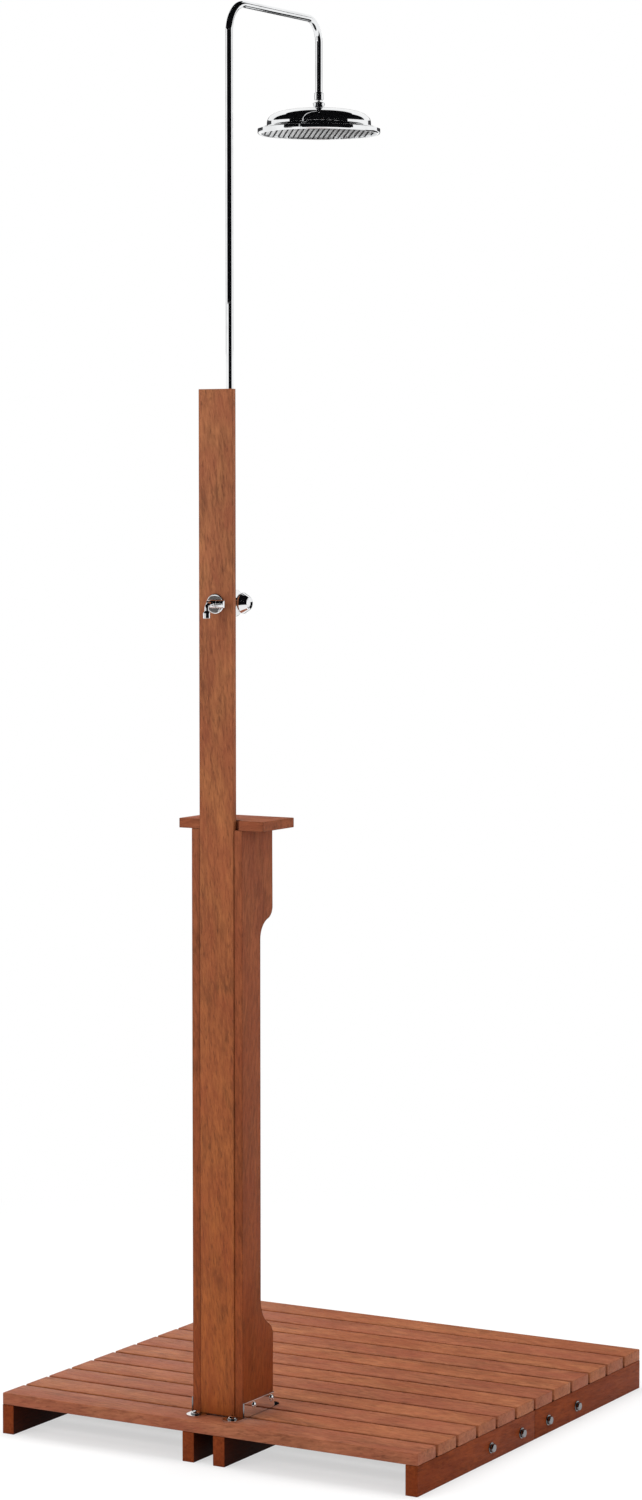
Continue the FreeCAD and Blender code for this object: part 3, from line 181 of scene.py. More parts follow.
def slabMesh(mesh, outline, thickness, place, bevel, bevelSteps=3):
    # a flat outline with thickness along its own Z, its edges eased
    low = ringAt(mesh, outline, 0, place)
    high = ringAt(mesh, outline, thickness, place)
    bottom = mesh.faces.new(low)
    top = mesh.faces.new(high)
    bridge(mesh, low, high)
    easeEdges(mesh, list(bottom.edges) + list(top.edges), bevel, bevelSteps)


def boxMesh(low, high):
    mesh = bmesh.new()
    bmesh.ops.create_cube(mesh, size=1)
    bmesh.ops.scale(mesh, vec=high - low, verts=mesh.verts)
    bmesh.ops.translate(mesh, vec=(low + high) / 2, verts=mesh.verts)
    return mesh


def boxPiece(name, low, high, bevel, bevelSteps=3):
    mesh = boxMesh(low, high)
    easeEdges(mesh, list(mesh.edges), bevel, bevelSteps)
    return addPiece(name, mesh)


def routePoints(corners, bendSteps=24):
    # points of a route in the YZ plane whose corners (y, z, radius) are bent round
    return [Vector((0, point.x, point.y)) for point in roundCorners(corners, bendSteps, closed=False)]


def tubeMesh(mesh, route, radius, bore, steps=48):
    # a round tube along a route that lies in the YZ plane; without a bore its ends are closed
    walls = []
    for size in (radius, bore) if bore > 0 else (radius,):
        rings = []
        for index, point in enumerate(route):
            tangent = route[min(index + 1, len(route) - 1)] - route[max(index - 1, 0)]
            side = tangent.normalized().cross(right)
            rings.append([mesh.verts.new(point + right * x + side * y) for x, y in circleRing(size, steps)])
        for first, second in zip(rings, rings[1:]):
            bridge(mesh, first, second)
        walls.append(rings)
    for end in (0, -1):
        if bore > 0:
            bridge(mesh, walls[0][end], walls[1][end])
        else:
            mesh.faces.new(walls[0][end])


def hexRing(flats, steps=24):
    # points round a hexagon, as many as a circle has, so that the two can be bridged
    points = []
    for index in range(steps):
        angle = 2 * math.pi * index / steps
        sector = (angle + math.pi / 6) % (math.pi / 3) - math.pi / 6
        reach = flats / 2 / math.cos(sector)
        points.append((reach * math.cos(angle), reach * math.sin(angle)))
    return points


def loftMesh(mesh, layers, place):
    # joins rings of equal length, each (points, height), and closes both ends
    rings = [ringAt(mesh, points, height, place) for points, height in layers]
    for first, second in zip(rings, rings[1:]):
        bridge(mesh, first, second)
    mesh.faces.new(rings[0])
    mesh.faces.new(rings[-1])


def show(piece, node, material, body="stand"):
    # the piece stands for a CAD node, wears a material and rides on a body
    piece.data.materials.append(materials[material])
    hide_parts(node)
    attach(piece, body)
    return piece


def showTurned(name, node, forms, body="stand", steps=96, roundSteps=5):
    # a chrome piece of turned forms, each (corners, spot, direction)
    mesh = bmesh.new()
    for corners, spot, direction in forms:
        mergeTurned(mesh, corners, spot, direction, steps, roundSteps)
    show(addPiece(name, mesh), node, "chromePlate", body)


# shader nodes and groups

# a colour mix node's sockets go by number, because its other kinds have sockets of the same names
mixFactor, mixFirst, mixSecond, mixResult = 0, 6, 7, 2


def setInputs(tree, node, values):
    # each value is another node's output, to be linked, or a constant
    for key, value in values.items():
        if hasattr(value, "is_linked"):
            tree.links.new(value, node.inputs[key])
        else:
            node.inputs[key].default_value = value


def addNode(tree, kind, settings=None, values=None):
    node = tree.nodes.new(kind)
    for key, value in (settings or {}).items():
        setattr(node, key, value)
    setInputs(tree, node, values or {})
    return node


def newGroup(name, inputs, outputs):
    group = bpy.data.node_groups.new(name, "ShaderNodeTree")
    for kind, label, value in inputs:
        socket = group.interface.new_socket(label, in_out="INPUT", socket_type=kind)
        if value is not None:
            socket.default_value = value
    for kind, label in outputs:
        group.interface.new_socket(label, in_out="OUTPUT", socket_type=kind)
    return group, group.nodes.new("NodeGroupInput").outputs, group.nodes.new("NodeGroupOutput")


def useGroup(tree, group, values):
    return addNode(tree, "ShaderNodeGroup", {"node_tree": group}, values).outputs


def mathNode(tree, operation, first, second=None, clamp=False):
    values = {0: first} if second is None else {0: first, 1: second}
    return addNode(tree, "ShaderNodeMath", {"operation": operation, "use_clamp": clamp}, values).outputs[0]


def mixColours(tree, factor, first, second, blend="MIX"):
    node = addNode(tree, "ShaderNodeMix", {"data_type": "RGBA", "blend_type": blend},
                   {mixFactor: factor, mixFirst: first, mixSecond: second})
    return node.outputs[mixResult]


def mapped(tree, vector, values):
    return addNode(tree, "ShaderNodeMapping", None, {"Vector": vector, **values}).outputs[0]


def noiseNode(tree, vector, scale, detail=3, roughness=0.55, distortion=0):
    return addNode(tree, "ShaderNodeTexNoise", None, {
        "Vector": vector, "Scale": scale, "Detail": detail, "Roughness": roughness,
        "Distortion": distortion}).outputs["Fac"]


def stretch(tree, value, low, high):
    return addNode(tree, "ShaderNodeMapRange", {"clamp": True}, {
        "Value": value, "From Min": low, "From Max": high}).outputs["Result"]


def bumpNormal(tree, height, look):
    return addNode(tree, "ShaderNodeBump", None, {
        "Strength": look["strength"], "Distance": look["distance"], "Height": height}).outputs[0]


def objectPlace(tree):
    return addNode(tree, "ShaderNodeTexCoord").outputs["Object"]


# noises drawn out along the grain: squeeze along it, scale, the range spread to 0 and 1, detail,
# roughness, distortion, and how far it leans
grains = {
    "patch": (0.4, 22, 0.36, 0.64, 3, 0.5, 0.6, 0),
    "streak": (0.06, 70, 0.34, 0.66, 3, 0.5, 0.6, 0),
    "swell": (0.09, 8, 0, 1, 2, 0.4, 1.2, 0),
    "figure": (0.16, 190, 0.36, 0.64, 3, 0.55, 0.4, 0.12),
    "fibre": (0.05, 620, 0.3, 0.7, 3, 0.6, 0, 0),
    "fleck": (0.14, 420, 0.58, 0.68, 2, 0.5, 0, 0.1),
    "pale": (0.14, 380, 0.6, 0.7, 2, 0.5, 0, 0.14),
    "pore": (0.07, 900, 0.62, 0.7, 2, 0.5, 0, 0),
    "hue": (0.45, 26, 0.36, 0.66, 2, 0.5, 0.4, 0),
}
grainShares = {"patch": 0.3, "streak": 0.14, "figure": 0.42, "fibre": 0.16, "hue": 0.5, "pale": 0.35,
               "pore": 0.35, "fleck": 0.3}
figureLook = {"seedSteps": (7.3, 3.1, 11.7), "waves": 95, "toneShift": 0.06, "rough": 0.42,
              "roughShare": 0.14, "fibreHeight": 0.5}


def buildWoodGroup():
    # wood figure from a vector whose Z runs along the grain, in metres
    group, given, result = newGroup("woodFigure", [
        ("NodeSocketVector", "Vector", None),
        ("NodeSocketFloat", "Seed", 0),
        ("NodeSocketColor", "Light", (0.5, 0.3, 0.2, 1)),
        ("NodeSocketColor", "Dark", (0.2, 0.1, 0.05, 1)),
        ("NodeSocketColor", "Red", (0.3, 0.1, 0.05, 1)),
        ("NodeSocketColor", "Pore", (0.05, 0.02, 0.01, 1)),
        ("NodeSocketFloat", "Bands", 0.3),
    ], [("NodeSocketColor", "Color"), ("NodeSocketFloat", "Roughness"), ("NodeSocketFloat", "Height")])
    offset = addNode(group, "ShaderNodeCombineXYZ", None, {
        axis: mathNode(group, "MULTIPLY", given["Seed"], step)
        for axis, step in enumerate(figureLook["seedSteps"])})
    moved = addNode(group, "ShaderNodeVectorMath", {"operation": "ADD"},
                    {0: given["Vector"], 1: offset.outputs[0]}).outputs[0]
    grain = {}
    for name, (squeeze, scale, low, high, detail, roughness, distortion, lean) in grains.items():
        drawn = mapped(group, mapped(group, moved, {"Rotation": (lean, lean, 0)}), {"Scale": (1, 1, squeeze)})
        noise = noiseNode(group, drawn, scale, detail, roughness, distortion)
        grain[name] = stretch(group, noise, low, high)

    def part(name, share=None):
        return mathNode(group, "MULTIPLY", grain[name], share or grainShares[name])
    wave = mathNode(group, "SINE", part("swell", figureLook["waves"]))
    wave = mathNode(group, "ADD", mathNode(group, "MULTIPLY", wave, 0.5), 0.5)
    tone = mathNode(group, "ADD", part("patch"), mathNode(group, "MULTIPLY", wave, given["Bands"]))
    for name in ("streak", "figure", "fibre"):
        tone = mathNode(group, "ADD", tone, part(name))
    tone = mathNode(group, "SUBTRACT", tone, figureLook["toneShift"], clamp=True)
    colour = mixColours(group, tone, given["Light"], given["Dark"])
    colour = mixColours(group, part("hue"), colour, given["Red"])
    colour = mixColours(group, part("pale"), colour, given["Light"])
    darkSpots = mathNode(group, "ADD", part("pore"), part("fleck"), clamp=True)
    rough = mathNode(group, "ADD", figureLook["rough"], part("fibre", figureLook["roughShare"]))
    rough = mathNode(group, "ADD", rough, part("pore", figureLook["roughShare"]))
    height = mathNode(group, "SUBTRACT", part("fibre", figureLook["fibreHeight"]), grain["pore"])
    setInputs(group, result, {"Color": mixColours(group, darkSpots, colour, given["Pore"]),
                              "Roughness": rough, "Height": height})
    return group


# radius is how wide an eased edge looks, in metres; the mask runs from 0 where the rounded normal
# agrees with the face as well as flat says, to 1 at turned
edgeLook = {"radius": 0.0028, "flat": 0.995, "turned": 0.8, "samples": 4}


def buildEdgeGroup():
    # a mask that is 1 along the eased edges, from how far a rounded normal leans away
    group, given, result = newGroup("edgeOilAndSeamShade", [("NodeSocketFloat", "Radius", 0.002)],
                                    [("NodeSocketFloat", "Mask")])
    rounded = addNode(group, "ShaderNodeBevel", {"samples": edgeLook["samples"]}, {"Radius": given["Radius"]})
    plain = addNode(group, "ShaderNodeNewGeometry")
    lean = addNode(group, "ShaderNodeVectorMath", {"operation": "DOT_PRODUCT"},
                   {0: rounded.outputs[0], 1: plain.outputs["Normal"]}).outputs["Value"]
    setInputs(group, result, {"Mask": stretch(group, lean, edgeLook["flat"], edgeLook["turned"])})
    return group


# cloud and hair are a noise's scale, detail and roughness, then the range spread to 0 and 1
wearLook = {"cloud": (24, 4, 0.6), "cloudDrift": 0.8, "cloudRange": (0.45, 0.75), "hair": (700, 2, 0.5),
            "hairRange": (0.66, 0.74), "hairDraw": (1, 1, 0.04), "hairTurn": (0.5, 0.9, 0.3)}


def buildWearGroup():
    # faint smears and hairline scratches on a polished surface
    group, given, result = newGroup("polishWear", [
        ("NodeSocketVector", "Vector", None),
        ("NodeSocketFloat", "Base", 0.04),
        ("NodeSocketFloat", "Smear", 0.08),
        ("NodeSocketFloat", "Scratch", 0.05),
    ], [("NodeSocketFloat", "Roughness"), ("NodeSocketFloat", "Height"), ("NodeSocketFloat", "Smudge")])
    cloud = noiseNode(group, given["Vector"], *wearLook["cloud"], wearLook["cloudDrift"])
    cloud = stretch(group, cloud, *wearLook["cloudRange"])
    line = mapped(group, given["Vector"], {"Scale": wearLook["hairDraw"], "Rotation": wearLook["hairTurn"]})
    hair = stretch(group, noiseNode(group, line, *wearLook["hair"]), *wearLook["hairRange"])
    rough = mathNode(group, "ADD", given["Base"], mathNode(group, "MULTIPLY", cloud, given["Smear"]))
    rough = mathNode(group, "ADD", rough, mathNode(group, "MULTIPLY", hair, given["Scratch"]))
    setInputs(group, result, {"Roughness": rough, "Height": hair, "Smudge": cloud})
    return group


woodGroup = buildWoodGroup()
edgeGroup = buildEdgeGroup()
wearGroup = buildWearGroup()
print("shader groups built")

# materials


def newMaterial(name):
    material = bpy.data.materials.new(name)
    material.use_nodes = True
    return material, material.node_tree, material.node_tree.nodes["Principled BSDF"]


def shaded(colour, share):
    return linear(*[channel * share for channel in colour])


grainTurn = {"x": (0, math.radians(90), 0), "y": (math.radians(90), 0, 0), "z": (0, 0, 0)}

# light and dark are the ends of the grain's colour, red is the tint that drifts through it;
# some woods get painted shade towards the ground, in place of reflected light the lower boards lack, and the
# joists get painted shade away from the deck's outside, where the deck shades them
# edge is how far eased edges darken: partly oil on the arrises, partly painted shade in the seams
woods = {
    "slatTan": {"light": (180, 114, 78), "dark": (116, 67, 44), "red": (148, 80, 56),
        "along": "x", "bands": 0.08, "gloss": 0.08, "edge": 0.4},
    "slatPink": {"light": (174, 109, 78), "dark": (112, 64, 44), "red": (146, 78, 58),
        "along": "x", "bands": 0.08, "gloss": 0.08, "edge": 0.4},
    "joistWood": {"light": (138, 66, 32), "dark": (92, 38, 16), "red": (118, 50, 24),
        "along": "y", "bands": 0.1, "gloss": 0.04, "edge": 0.4, "paintedUnderDeckShade": True},
    "boardWood": {"light": (180, 116, 76), "dark": (112, 67, 45), "red": (148, 80, 58),
        "along": "z", "bands": 0.1, "gloss": 0.15, "edge": 0.8, "paintedFootShade": True},
    "panelWood": {"light": (162, 98, 68), "dark": (104, 59, 39), "red": (138, 74, 54),
        "along": "z", "bands": 0.1, "gloss": 0.12, "edge": 0.8, "paintedFootShade": True},
    "shelfWood": {"light": (162, 94, 62), "dark": (106, 59, 38), "red": (140, 72, 50),
        "along": "x", "bands": 0.1, "gloss": 0.08, "edge": 0.7},
    "railWood": {"light": (148, 84, 50), "dark": (112, 60, 34), "red": (136, 68, 42),
        "along": "x", "bands": 0.1, "gloss": 0.15, "edge": 0.4},
}
poreShade = 0.5
woodBump = {"strength": 0.3, "distance": 0.0004}
# painted shade towards the ground: the heights where it starts and where it is full, and its tint
paintedFootShadeLook = {"top": 1.5, "foot": 0.2, "tint": (0.9, 0.64, 0.34, 1)}
# painted shade under the deck: how far in from the deck's outside it starts, and its tint
underDeckShadeLook = {"inside": 0.6 * mm, "tint": (0.2, 0.16, 0.14, 1)}
deckFront = nodeBox("joist_front_right")[0].y
deckSide = nodeBox("joist_front_right")[1].x


def woodMaterial(name, look):
    material, tree, shader = newMaterial(name)
    place = objectPlace(tree)
    pore = shaded(look["dark"], poreShade)
    figure = useGroup(tree, woodGroup, {
        "Vector": mapped(tree, place, {"Rotation": grainTurn[look["along"]]}),
        "Seed": addNode(tree, "ShaderNodeObjectInfo").outputs["Random"],
        "Light": linear(*look["light"]),
        "Dark": linear(*look["dark"]),
        "Red": linear(*look["red"]),
        "Pore": pore,
        "Bands": look["bands"],
    })
    # painted shade and oil: eased edges darken towards the pore colour, partly oil gathered on the arrises,
    # partly painted shade in the seams between parts
    edge = useGroup(tree, edgeGroup, {"Radius": edgeLook["radius"]})
    colour = mixColours(tree, mathNode(tree, "MULTIPLY", edge["Mask"], look["edge"]), figure["Color"], pore)
    axes = addNode(tree, "ShaderNodeSeparateXYZ", None, {0: place}).outputs
    # painted shade: darker towards the ground, in place of the reflected light the lower boards lack
    if look.get("paintedFootShade"):
        paintedFootShade = stretch(tree, axes["Z"], paintedFootShadeLook["top"], paintedFootShadeLook["foot"])
        colour = mixColours(tree, paintedFootShade, colour, paintedFootShadeLook["tint"], "MULTIPLY")
    if look.get("paintedUnderDeckShade"):
        # painted shade on the timber under the deck, where the deck keeps the light off it
        inside = []
        for axis, reach in (("X", deckSide), ("Y", abs(deckFront))):
            away = mathNode(tree, "ABSOLUTE", axes[axis])
            inside.append(mathNode(tree, "LESS_THAN", away, reach - underDeckShadeLook["inside"]))
        hidden = mathNode(tree, "MULTIPLY", *inside)
        colour = mixColours(tree, hidden, colour, underDeckShadeLook["tint"], "MULTIPLY")
    setInputs(tree, shader, {
        "Base Color": colour, "Roughness": figure["Roughness"], "Specular IOR Level": look["gloss"],
        "Normal": bumpNormal(tree, figure["Height"], woodBump)})
    return material


# metals, and plastics, which have a grain; base is the roughness that smears and scratches add to
coats = {
    "chromePlate": {"colour": (240, 241, 242), "base": 0.012, "smear": 0.03, "scratch": 0.02},
    "satinPlate": {"colour": (240, 241, 242), "base": 0.32, "smear": 0.06, "scratch": 0.04},
    "mirrorSteel": {"colour": (226, 222, 220), "base": 0.04, "smear": 0.05, "scratch": 0.06},
    "boltSteel": {"colour": (128, 128, 130), "base": 0.16, "smear": 0.1, "scratch": 0.1},
    "platedInlet": {"colour": (222, 222, 220), "base": 0.1, "smear": 0.1, "scratch": 0.06},
    "turnedBrass": {"colour": (196, 160, 96), "base": 0.25, "smear": 0.1, "scratch": 0.1},
    "nozzlePlastic": {"colour": (26, 27, 29), "base": 0.4, "smear": 0.12, "scratch": 0.1, "grain": 900},
    "bearingPlastic": {"colour": (218, 214, 204), "base": 0.5, "smear": 0.12, "scratch": 0.1, "grain": 700},
}
coatKinds = {
    "metal": {"metallic": 1, "smudge": 0.93, "strength": 0.02, "distance": 0.00002},
    "plastic": {"metallic": 0, "smudge": 0.9, "strength": 0.08, "distance": 0.0002},
}


def coatMaterial(name, look):
    material, tree, shader = newMaterial(name)
    kind = coatKinds["plastic" if "grain" in look else "metal"]
    place = objectPlace(tree)
    wear = useGroup(tree, wearGroup, {
        "Vector": place, "Base": look["base"], "Smear": look["smear"], "Scratch": look["scratch"]})
    height = noiseNode(tree, place, look["grain"]) if "grain" in look else wear["Height"]
    clean, dull = linear(*look["colour"]), shaded(look["colour"], kind["smudge"])
    setInputs(tree, shader, {
        "Base Color": mixColours(tree, wear["Smudge"], clean, dull), "Metallic": kind["metallic"],
        "Roughness": wear["Roughness"], "Normal": bumpNormal(tree, height, kind)})
    return material


materials = {name: woodMaterial(name, look) for name, look in woods.items()}
materials.update({name: coatMaterial(name, look) for name, look in coats.items()})
print("materials built")

# deck

deckLook = {"slatEdge": 1.6 * mm, "slatSteps": 4, "joistEdge": 0.7 * mm}


def nodesNamed(start):
    return sorted(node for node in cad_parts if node.startswith(start))


for index, node in enumerate(nodesNamed("slat_")):
    piece = boxPiece(node + "_board", *nodeBox(node), deckLook["slatEdge"], deckLook["slatSteps"])
    show(piece, node, "slatTan" if index % 2 else "slatPink")
for node in nodesNamed("joist_") + nodesNamed("splice_cleat_"):
    show(boxPiece(node + "_board", *nodeBox(node), deckLook["joistEdge"]), node, "joistWood")
print("deck built")

# post

panelShape = {
    "waist": 57.3 * mm,
    "lowStart": 120 * mm,
    "lowHeight": 65 * mm,
    "lowRound": 25 * mm,
    "highEnd": 838 * mm,
    "highHeight": 52 * mm,
    "highRound": 20 * mm,
    "edge": 0.8 * mm,
    "curveSteps": 14,
}


def ogeePoints(wide, narrow, start, height, roundRadius, rising):
    # the two arcs of one ogee, from the full depth to the waist or back
    depth = wide - narrow
    total = (depth * depth + height * height) / (2 * depth)
    hollow = total - roundRadius
    swing = math.asin(height / total) * (1 if rising else -1)
    end = start + height * (1 if rising else -1)
    steps = panelShape["curveSteps"]
    points = arcPoints((wide - roundRadius, start), roundRadius, 0, swing, steps)
    points += reversed(arcPoints((narrow + hollow, end), hollow, math.pi, math.pi + swing, steps)[:-1])
    return points if rising else points[::-1]


def buildPanel(node):
    low, high = nodeBox(node)
    depth = high.y - low.y
    outline = [(0, 0), (depth, 0)]
    outline += ogeePoints(depth, panelShape["waist"], panelShape["lowStart"],
                          panelShape["lowHeight"], panelShape["lowRound"], True)
    outline += ogeePoints(depth, panelShape["waist"], panelShape["highEnd"],
                          panelShape["highHeight"], panelShape["highRound"], False)
    outline += [(depth, high.z - low.z), (0, high.z - low.z)]
    mesh = bmesh.new()
    # the outline's own X runs along +Y, its Y along +Z and its thickness along +X
    place = Matrix(((0, 0, 1, low.x), (1, 0, 0, low.y), (0, 1, 0, low.z), (0, 0, 0, 1)))
    slabMesh(mesh, outline, high.x - low.x, place, panelShape["edge"])
    show(addPiece(node + "_wood", mesh), node, "panelWood")


shelfShape = {
    "notchDepth": 10.5 * mm,
    "notchLeftGap": 0.3 * mm,
    "notchRightGap": 9.4 * mm,
    "edge": 0.8 * mm,
}


def buildShelf():
    low, high = nodeBox("shelf")
    boardLow, boardHigh = nodeBox("post_board")
    notchLeft = boardLow.x - shelfShape["notchLeftGap"]
    notchRight = boardHigh.x + shelfShape["notchRightGap"]
    notchBack = low.y + shelfShape["notchDepth"]
    outline = [
        (low.x, low.y), (notchLeft, low.y), (notchLeft, notchBack), (notchRight, notchBack),
        (notchRight, low.y), (high.x, low.y), (high.x, high.y), (low.x, high.y),
    ]
    mesh = bmesh.new()
    slabMesh(mesh, outline, high.z - low.z, Matrix.Translation((0, 0, low.z)), shelfShape["edge"])
    show(addPiece("shelf_wood", mesh), "shelf", "shelfWood")


planks = {"post_board": "boardWood", "rail_top": "railWood", "rail_bottom": "railWood"}
plankEdge = 0.8 * mm

for node in ("side_panel_left", "side_panel_right"):
    buildPanel(node)
buildShelf()
for node, wood in planks.items():
    show(boxPiece(node + "_wood", *nodeBox(node), plankEdge), node, wood)
print("post built")

# shoe brackets

bracketShape = {
    "sheet": 2.5 * mm,
    "edge": 0.35 * mm,
    "edgeSteps": 2,
    "legProfile": 0,
    "earSteps": 24,
    "reach": 12 * mm,
    "topFall": 0.7 * mm,
}


def buildBracket(node, side):
    low, high = nodeBox(node)
    sheet, edge, edgeSteps = (bracketShape[key] for key in ("sheet", "edge", "edgeSteps"))
    earRadius = (high.x - low.x) / 2
    middle = (low.x + high.x) / 2
    front = low.y + earRadius
    rear = high.y - earRadius
    steps = bracketShape["earSteps"]
    outline = arcPoints((middle, rear), earRadius, 0, math.pi, steps)
    outline += arcPoints((middle, front), earRadius, math.pi, 2 * math.pi, steps)
    mesh = bmesh.new()
    slabMesh(mesh, outline, sheet, Matrix.Translation((0, 0, low.z)), edge, edgeSteps)
    outer = high.x if side > 0 else low.x
    inner = outer - sheet * side
    legLow = Vector((min(outer, inner), front + bracketShape["reach"], low.z + sheet / 2))
    legHigh = Vector((max(outer, inner), rear - bracketShape["reach"], high.z))
    leg = boxMesh(legLow, legHigh)
    for vert in leg.verts:
        # the top slopes down towards the outside
        if vert.co.z > legHigh.z - mm and vert.co.x * side > (outer - sheet / 2 * side) * side:
            vert.co.z -= bracketShape["topFall"]
    easeEdges(leg, list(leg.edges), edge, edgeSteps, bracketShape["legProfile"])
    data = bpy.data.meshes.new("leg")
    leg.to_mesh(data)
    leg.free()
    mesh.from_mesh(data)
    bpy.data.meshes.remove(data)
    piece = show(addPiece(node + "_sheet", mesh), node, "mirrorSteel")
    piece.data.materials.append(materials["boltSteel"])
    for polygon in piece.data.polygons:
        if polygon.center.z > low.z + sheet and abs(polygon.normal.y) > 0.5:
            polygon.material_index = 1  # the sawn ends of the upright stay duller than its polished sides


buildBracket("bracket_left", -1)
buildBracket("bracket_right", 1)
print("brackets built")

# fasteners

# in millimetres
screwLook = {
    "anchor": {"shank": 3.5, "head": 6.8, "wall": 1.4, "height": 4.6, "socket": 4, "recess": 2.2,
               "upright": True},
    "bracket": {"shank": 3, "head": 5.5, "wall": 0.6, "height": 3.5, "socket": 3.2, "recess": 1.8},
    "splice": {"shank": 4, "flats": 13, "height": 5.3},
    "washer": {"radius": 9, "thickness": 1.5, "hole": 4, "lowEase": 0.3, "highEase": 0.5,
               "steps": 48, "roundSteps": 3},
}
# easeIn and easeUp are a domed head's lower edge, socketReach is where its dome stops, as a share of
# the socket's width, and socketDip the small step down into the socket
domedLook = {"easeIn": 0.2, "easeUp": 0.25, "socketReach": 0.62, "socketDip": 0.15, "steps": 8}
# foot and crown are the round ends' radii and flats the hexagon's width, as shares of the look's flats
hexLook = {"foot": 0.48, "flats": 0.995, "crown": 0.47, "footHeight": 0.3, "crownHeight": 0.9}


def domedHead(mesh, look, place):
    # a button head with a hexagonal socket
    radius = look["head"] * mm
    wall = look["wall"] * mm
    height = look["height"] * mm - wall
    bulge = (radius * radius + height * height) / (2 * height)
    layers = [(circleRing(radius - domedLook["easeIn"] * mm), 0),
              (circleRing(radius), domedLook["easeUp"] * mm), (circleRing(radius), wall)]
    rim = math.asin(look["socket"] * domedLook["socketReach"] * mm / bulge)
    start = math.asin(min(1, radius / bulge))
    for index in range(1, domedLook["steps"] + 1):
        angle = start + (rim - start) * index / domedLook["steps"]
        layers.append((circleRing(bulge * math.sin(angle)), wall + height - bulge + bulge * math.cos(angle)))
    top = layers[-1][1]
    for drop in (domedLook["socketDip"], look["recess"]):
        layers.append((hexRing(look["socket"] * mm), top - drop * mm))
    loftMesh(mesh, layers, place)


def hexHead(mesh, look, place):
    flats = look["flats"] * mm
    height = look["height"] * mm
    loftMesh(mesh, [
        (circleRing(flats * hexLook["foot"]), 0),
        (hexRing(flats * hexLook["flats"]), hexLook["footHeight"] * mm),
        (hexRing(flats * hexLook["flats"]), height - hexLook["crownHeight"] * mm),
        (circleRing(flats * hexLook["crown"]), height),
    ], place)


def shankMesh(mesh, radius, length, place):
    loftMesh(mesh, [(circleRing(radius), -length), (circleRing(radius), 0)], place)


def clusters(node):
    # the boxes of the separate solids of a CAD node that holds several
    mesh = bmesh.new()
    mesh.from_mesh(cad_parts[node].data)
    bmesh.ops.remove_doubles(mesh, verts=mesh.verts, dist=1e-6)
    seen = set()
    boxes = []
    for seed in mesh.verts:
        if seed in seen:
            continue
        group = [seed]
        seen.add(seed)
        for vert in group:
            for edge in vert.link_edges:
                other = edge.other_vert(vert)
                if other not in seen:
                    seen.add(other)
                    group.append(other)
        corners = [vert.co for vert in group]
        boxes.append([Vector([pick(corner[axis] for corner in corners) for axis in range(3)])
                      for pick in (min, max)])
    mesh.free()
    return boxes


def outwards(low, high):
    return right if low.x + high.x > 0 else -right


def buildBolts(node, look, makeHead, material):
    # screws with their heads on top, or bolts through the sides with their heads outwards
    mesh = bmesh.new()
    height = look["height"] * mm
    for low, high in clusters(node):
        way = up if look.get("upright") else outwards(low, high)
        seat = boxEnd(low, high, way) - way * height
        place = placeAlong(seat, way)
        makeHead(mesh, look, place)
        shankMesh(mesh, look["shank"] * mm, (seat - boxEnd(low, high, -way)).length, place)
    show(addPiece(node[:-1] + "_heads", mesh), node, material)


def buildWashers():
    look = screwLook["washer"]
    hole, radius, thick = look["hole"], look["radius"], look["thickness"]
    corners = [(hole, 0), (radius, 0, look["lowEase"]), (radius, thick, look["highEase"]), (hole, thick)]
    mesh = bmesh.new()
    for low, high in clusters("washers"):
        way = up if high.z - low.z < high.x - low.x else outwards(low, high)
        mergeTurned(mesh, corners, boxEnd(low, high, -way), way, look["steps"], look["roundSteps"])
    show(addPiece("washer_discs", mesh), "washers", "boltSteel")


buildBolts("anchor_screws", screwLook["anchor"], domedHead, "chromePlate")
buildBolts("bracket_bolts", screwLook["bracket"], domedHead, "chromePlate")
buildBolts("splice_bolts", screwLook["splice"], hexHead, "boltSteel")
buildWashers()
print("fasteners built")

# riser and arm

pipeSize = {
    "radius": 6 * mm,
    "bore": 4.8 * mm,
    "riserBend": 48 * mm,
    "dropBend": 38 * mm,
    "bendSteps": 32,
    "roundSteps": 64,
}


def buildPipe(name, node, route):
    mesh = bmesh.new()
    tubeMesh(mesh, route, pipeSize["radius"], pipeSize["bore"], pipeSize["roundSteps"])
    show(addPiece(name, mesh), node, "chromePlate")


def buildPipes():
    low, high = nodeBox("riser_arm")
    riserY = low.y + pipeSize["radius"]
    dropY = high.y - pipeSize["radius"]
    top = high.z - pipeSize["radius"]
    buildPipe("riser_arm_pipe", "riser_arm", routePoints([
        (riserY, low.z),
        (riserY, top, pipeSize["riserBend"]),
        (dropY, top, pipeSize["dropBend"]),
        (dropY, nodeBox("ball_stem")[1].z),
    ], pipeSize["bendSteps"]))
    straight = [Vector((0, riserY, end.z)) for end in nodeBox("lower_riser")]
    buildPipe("lower_riser_pipe", "lower_riser", straight)


buildPipes()
print("pipes built")

# shower valve, in millimetres; corners are (radius, height, rounding)

# the shares give radii from the flats or the collar; flatEnd, shoulder and lip run down from the top
unionNut = {"flats": 15.2, "height": 13, "collar": 8.2, "flatStart": 0.8, "flatEnd": 4.2, "shoulder": 3.2,
            "roundShare": 0.49, "lip": 1, "lipShare": 0.92, "endShare": 0.82}
valveSize = {
    "barrel": 11, "edge": 1.2, "branch": 10,
    "flange": ((0, 0), (10.4, 0), (10.4, 9), (22, 9, 0.8), (22, 12, 1.2), (9, 12, 0.8), (9, 20, 0.8),
               (0, 20)),
    "handle": ((5, 0), (16.2, 0, 0.3), (18, 3.6, 4), (11.1, 15.3, 0.7), (10, 16.5, 0.4), (9.4, 16.5, 0.2),
               (6.2, 14.1, 0.8), (0, 14.1), (0, 11.5), (5, 11.5)),
}


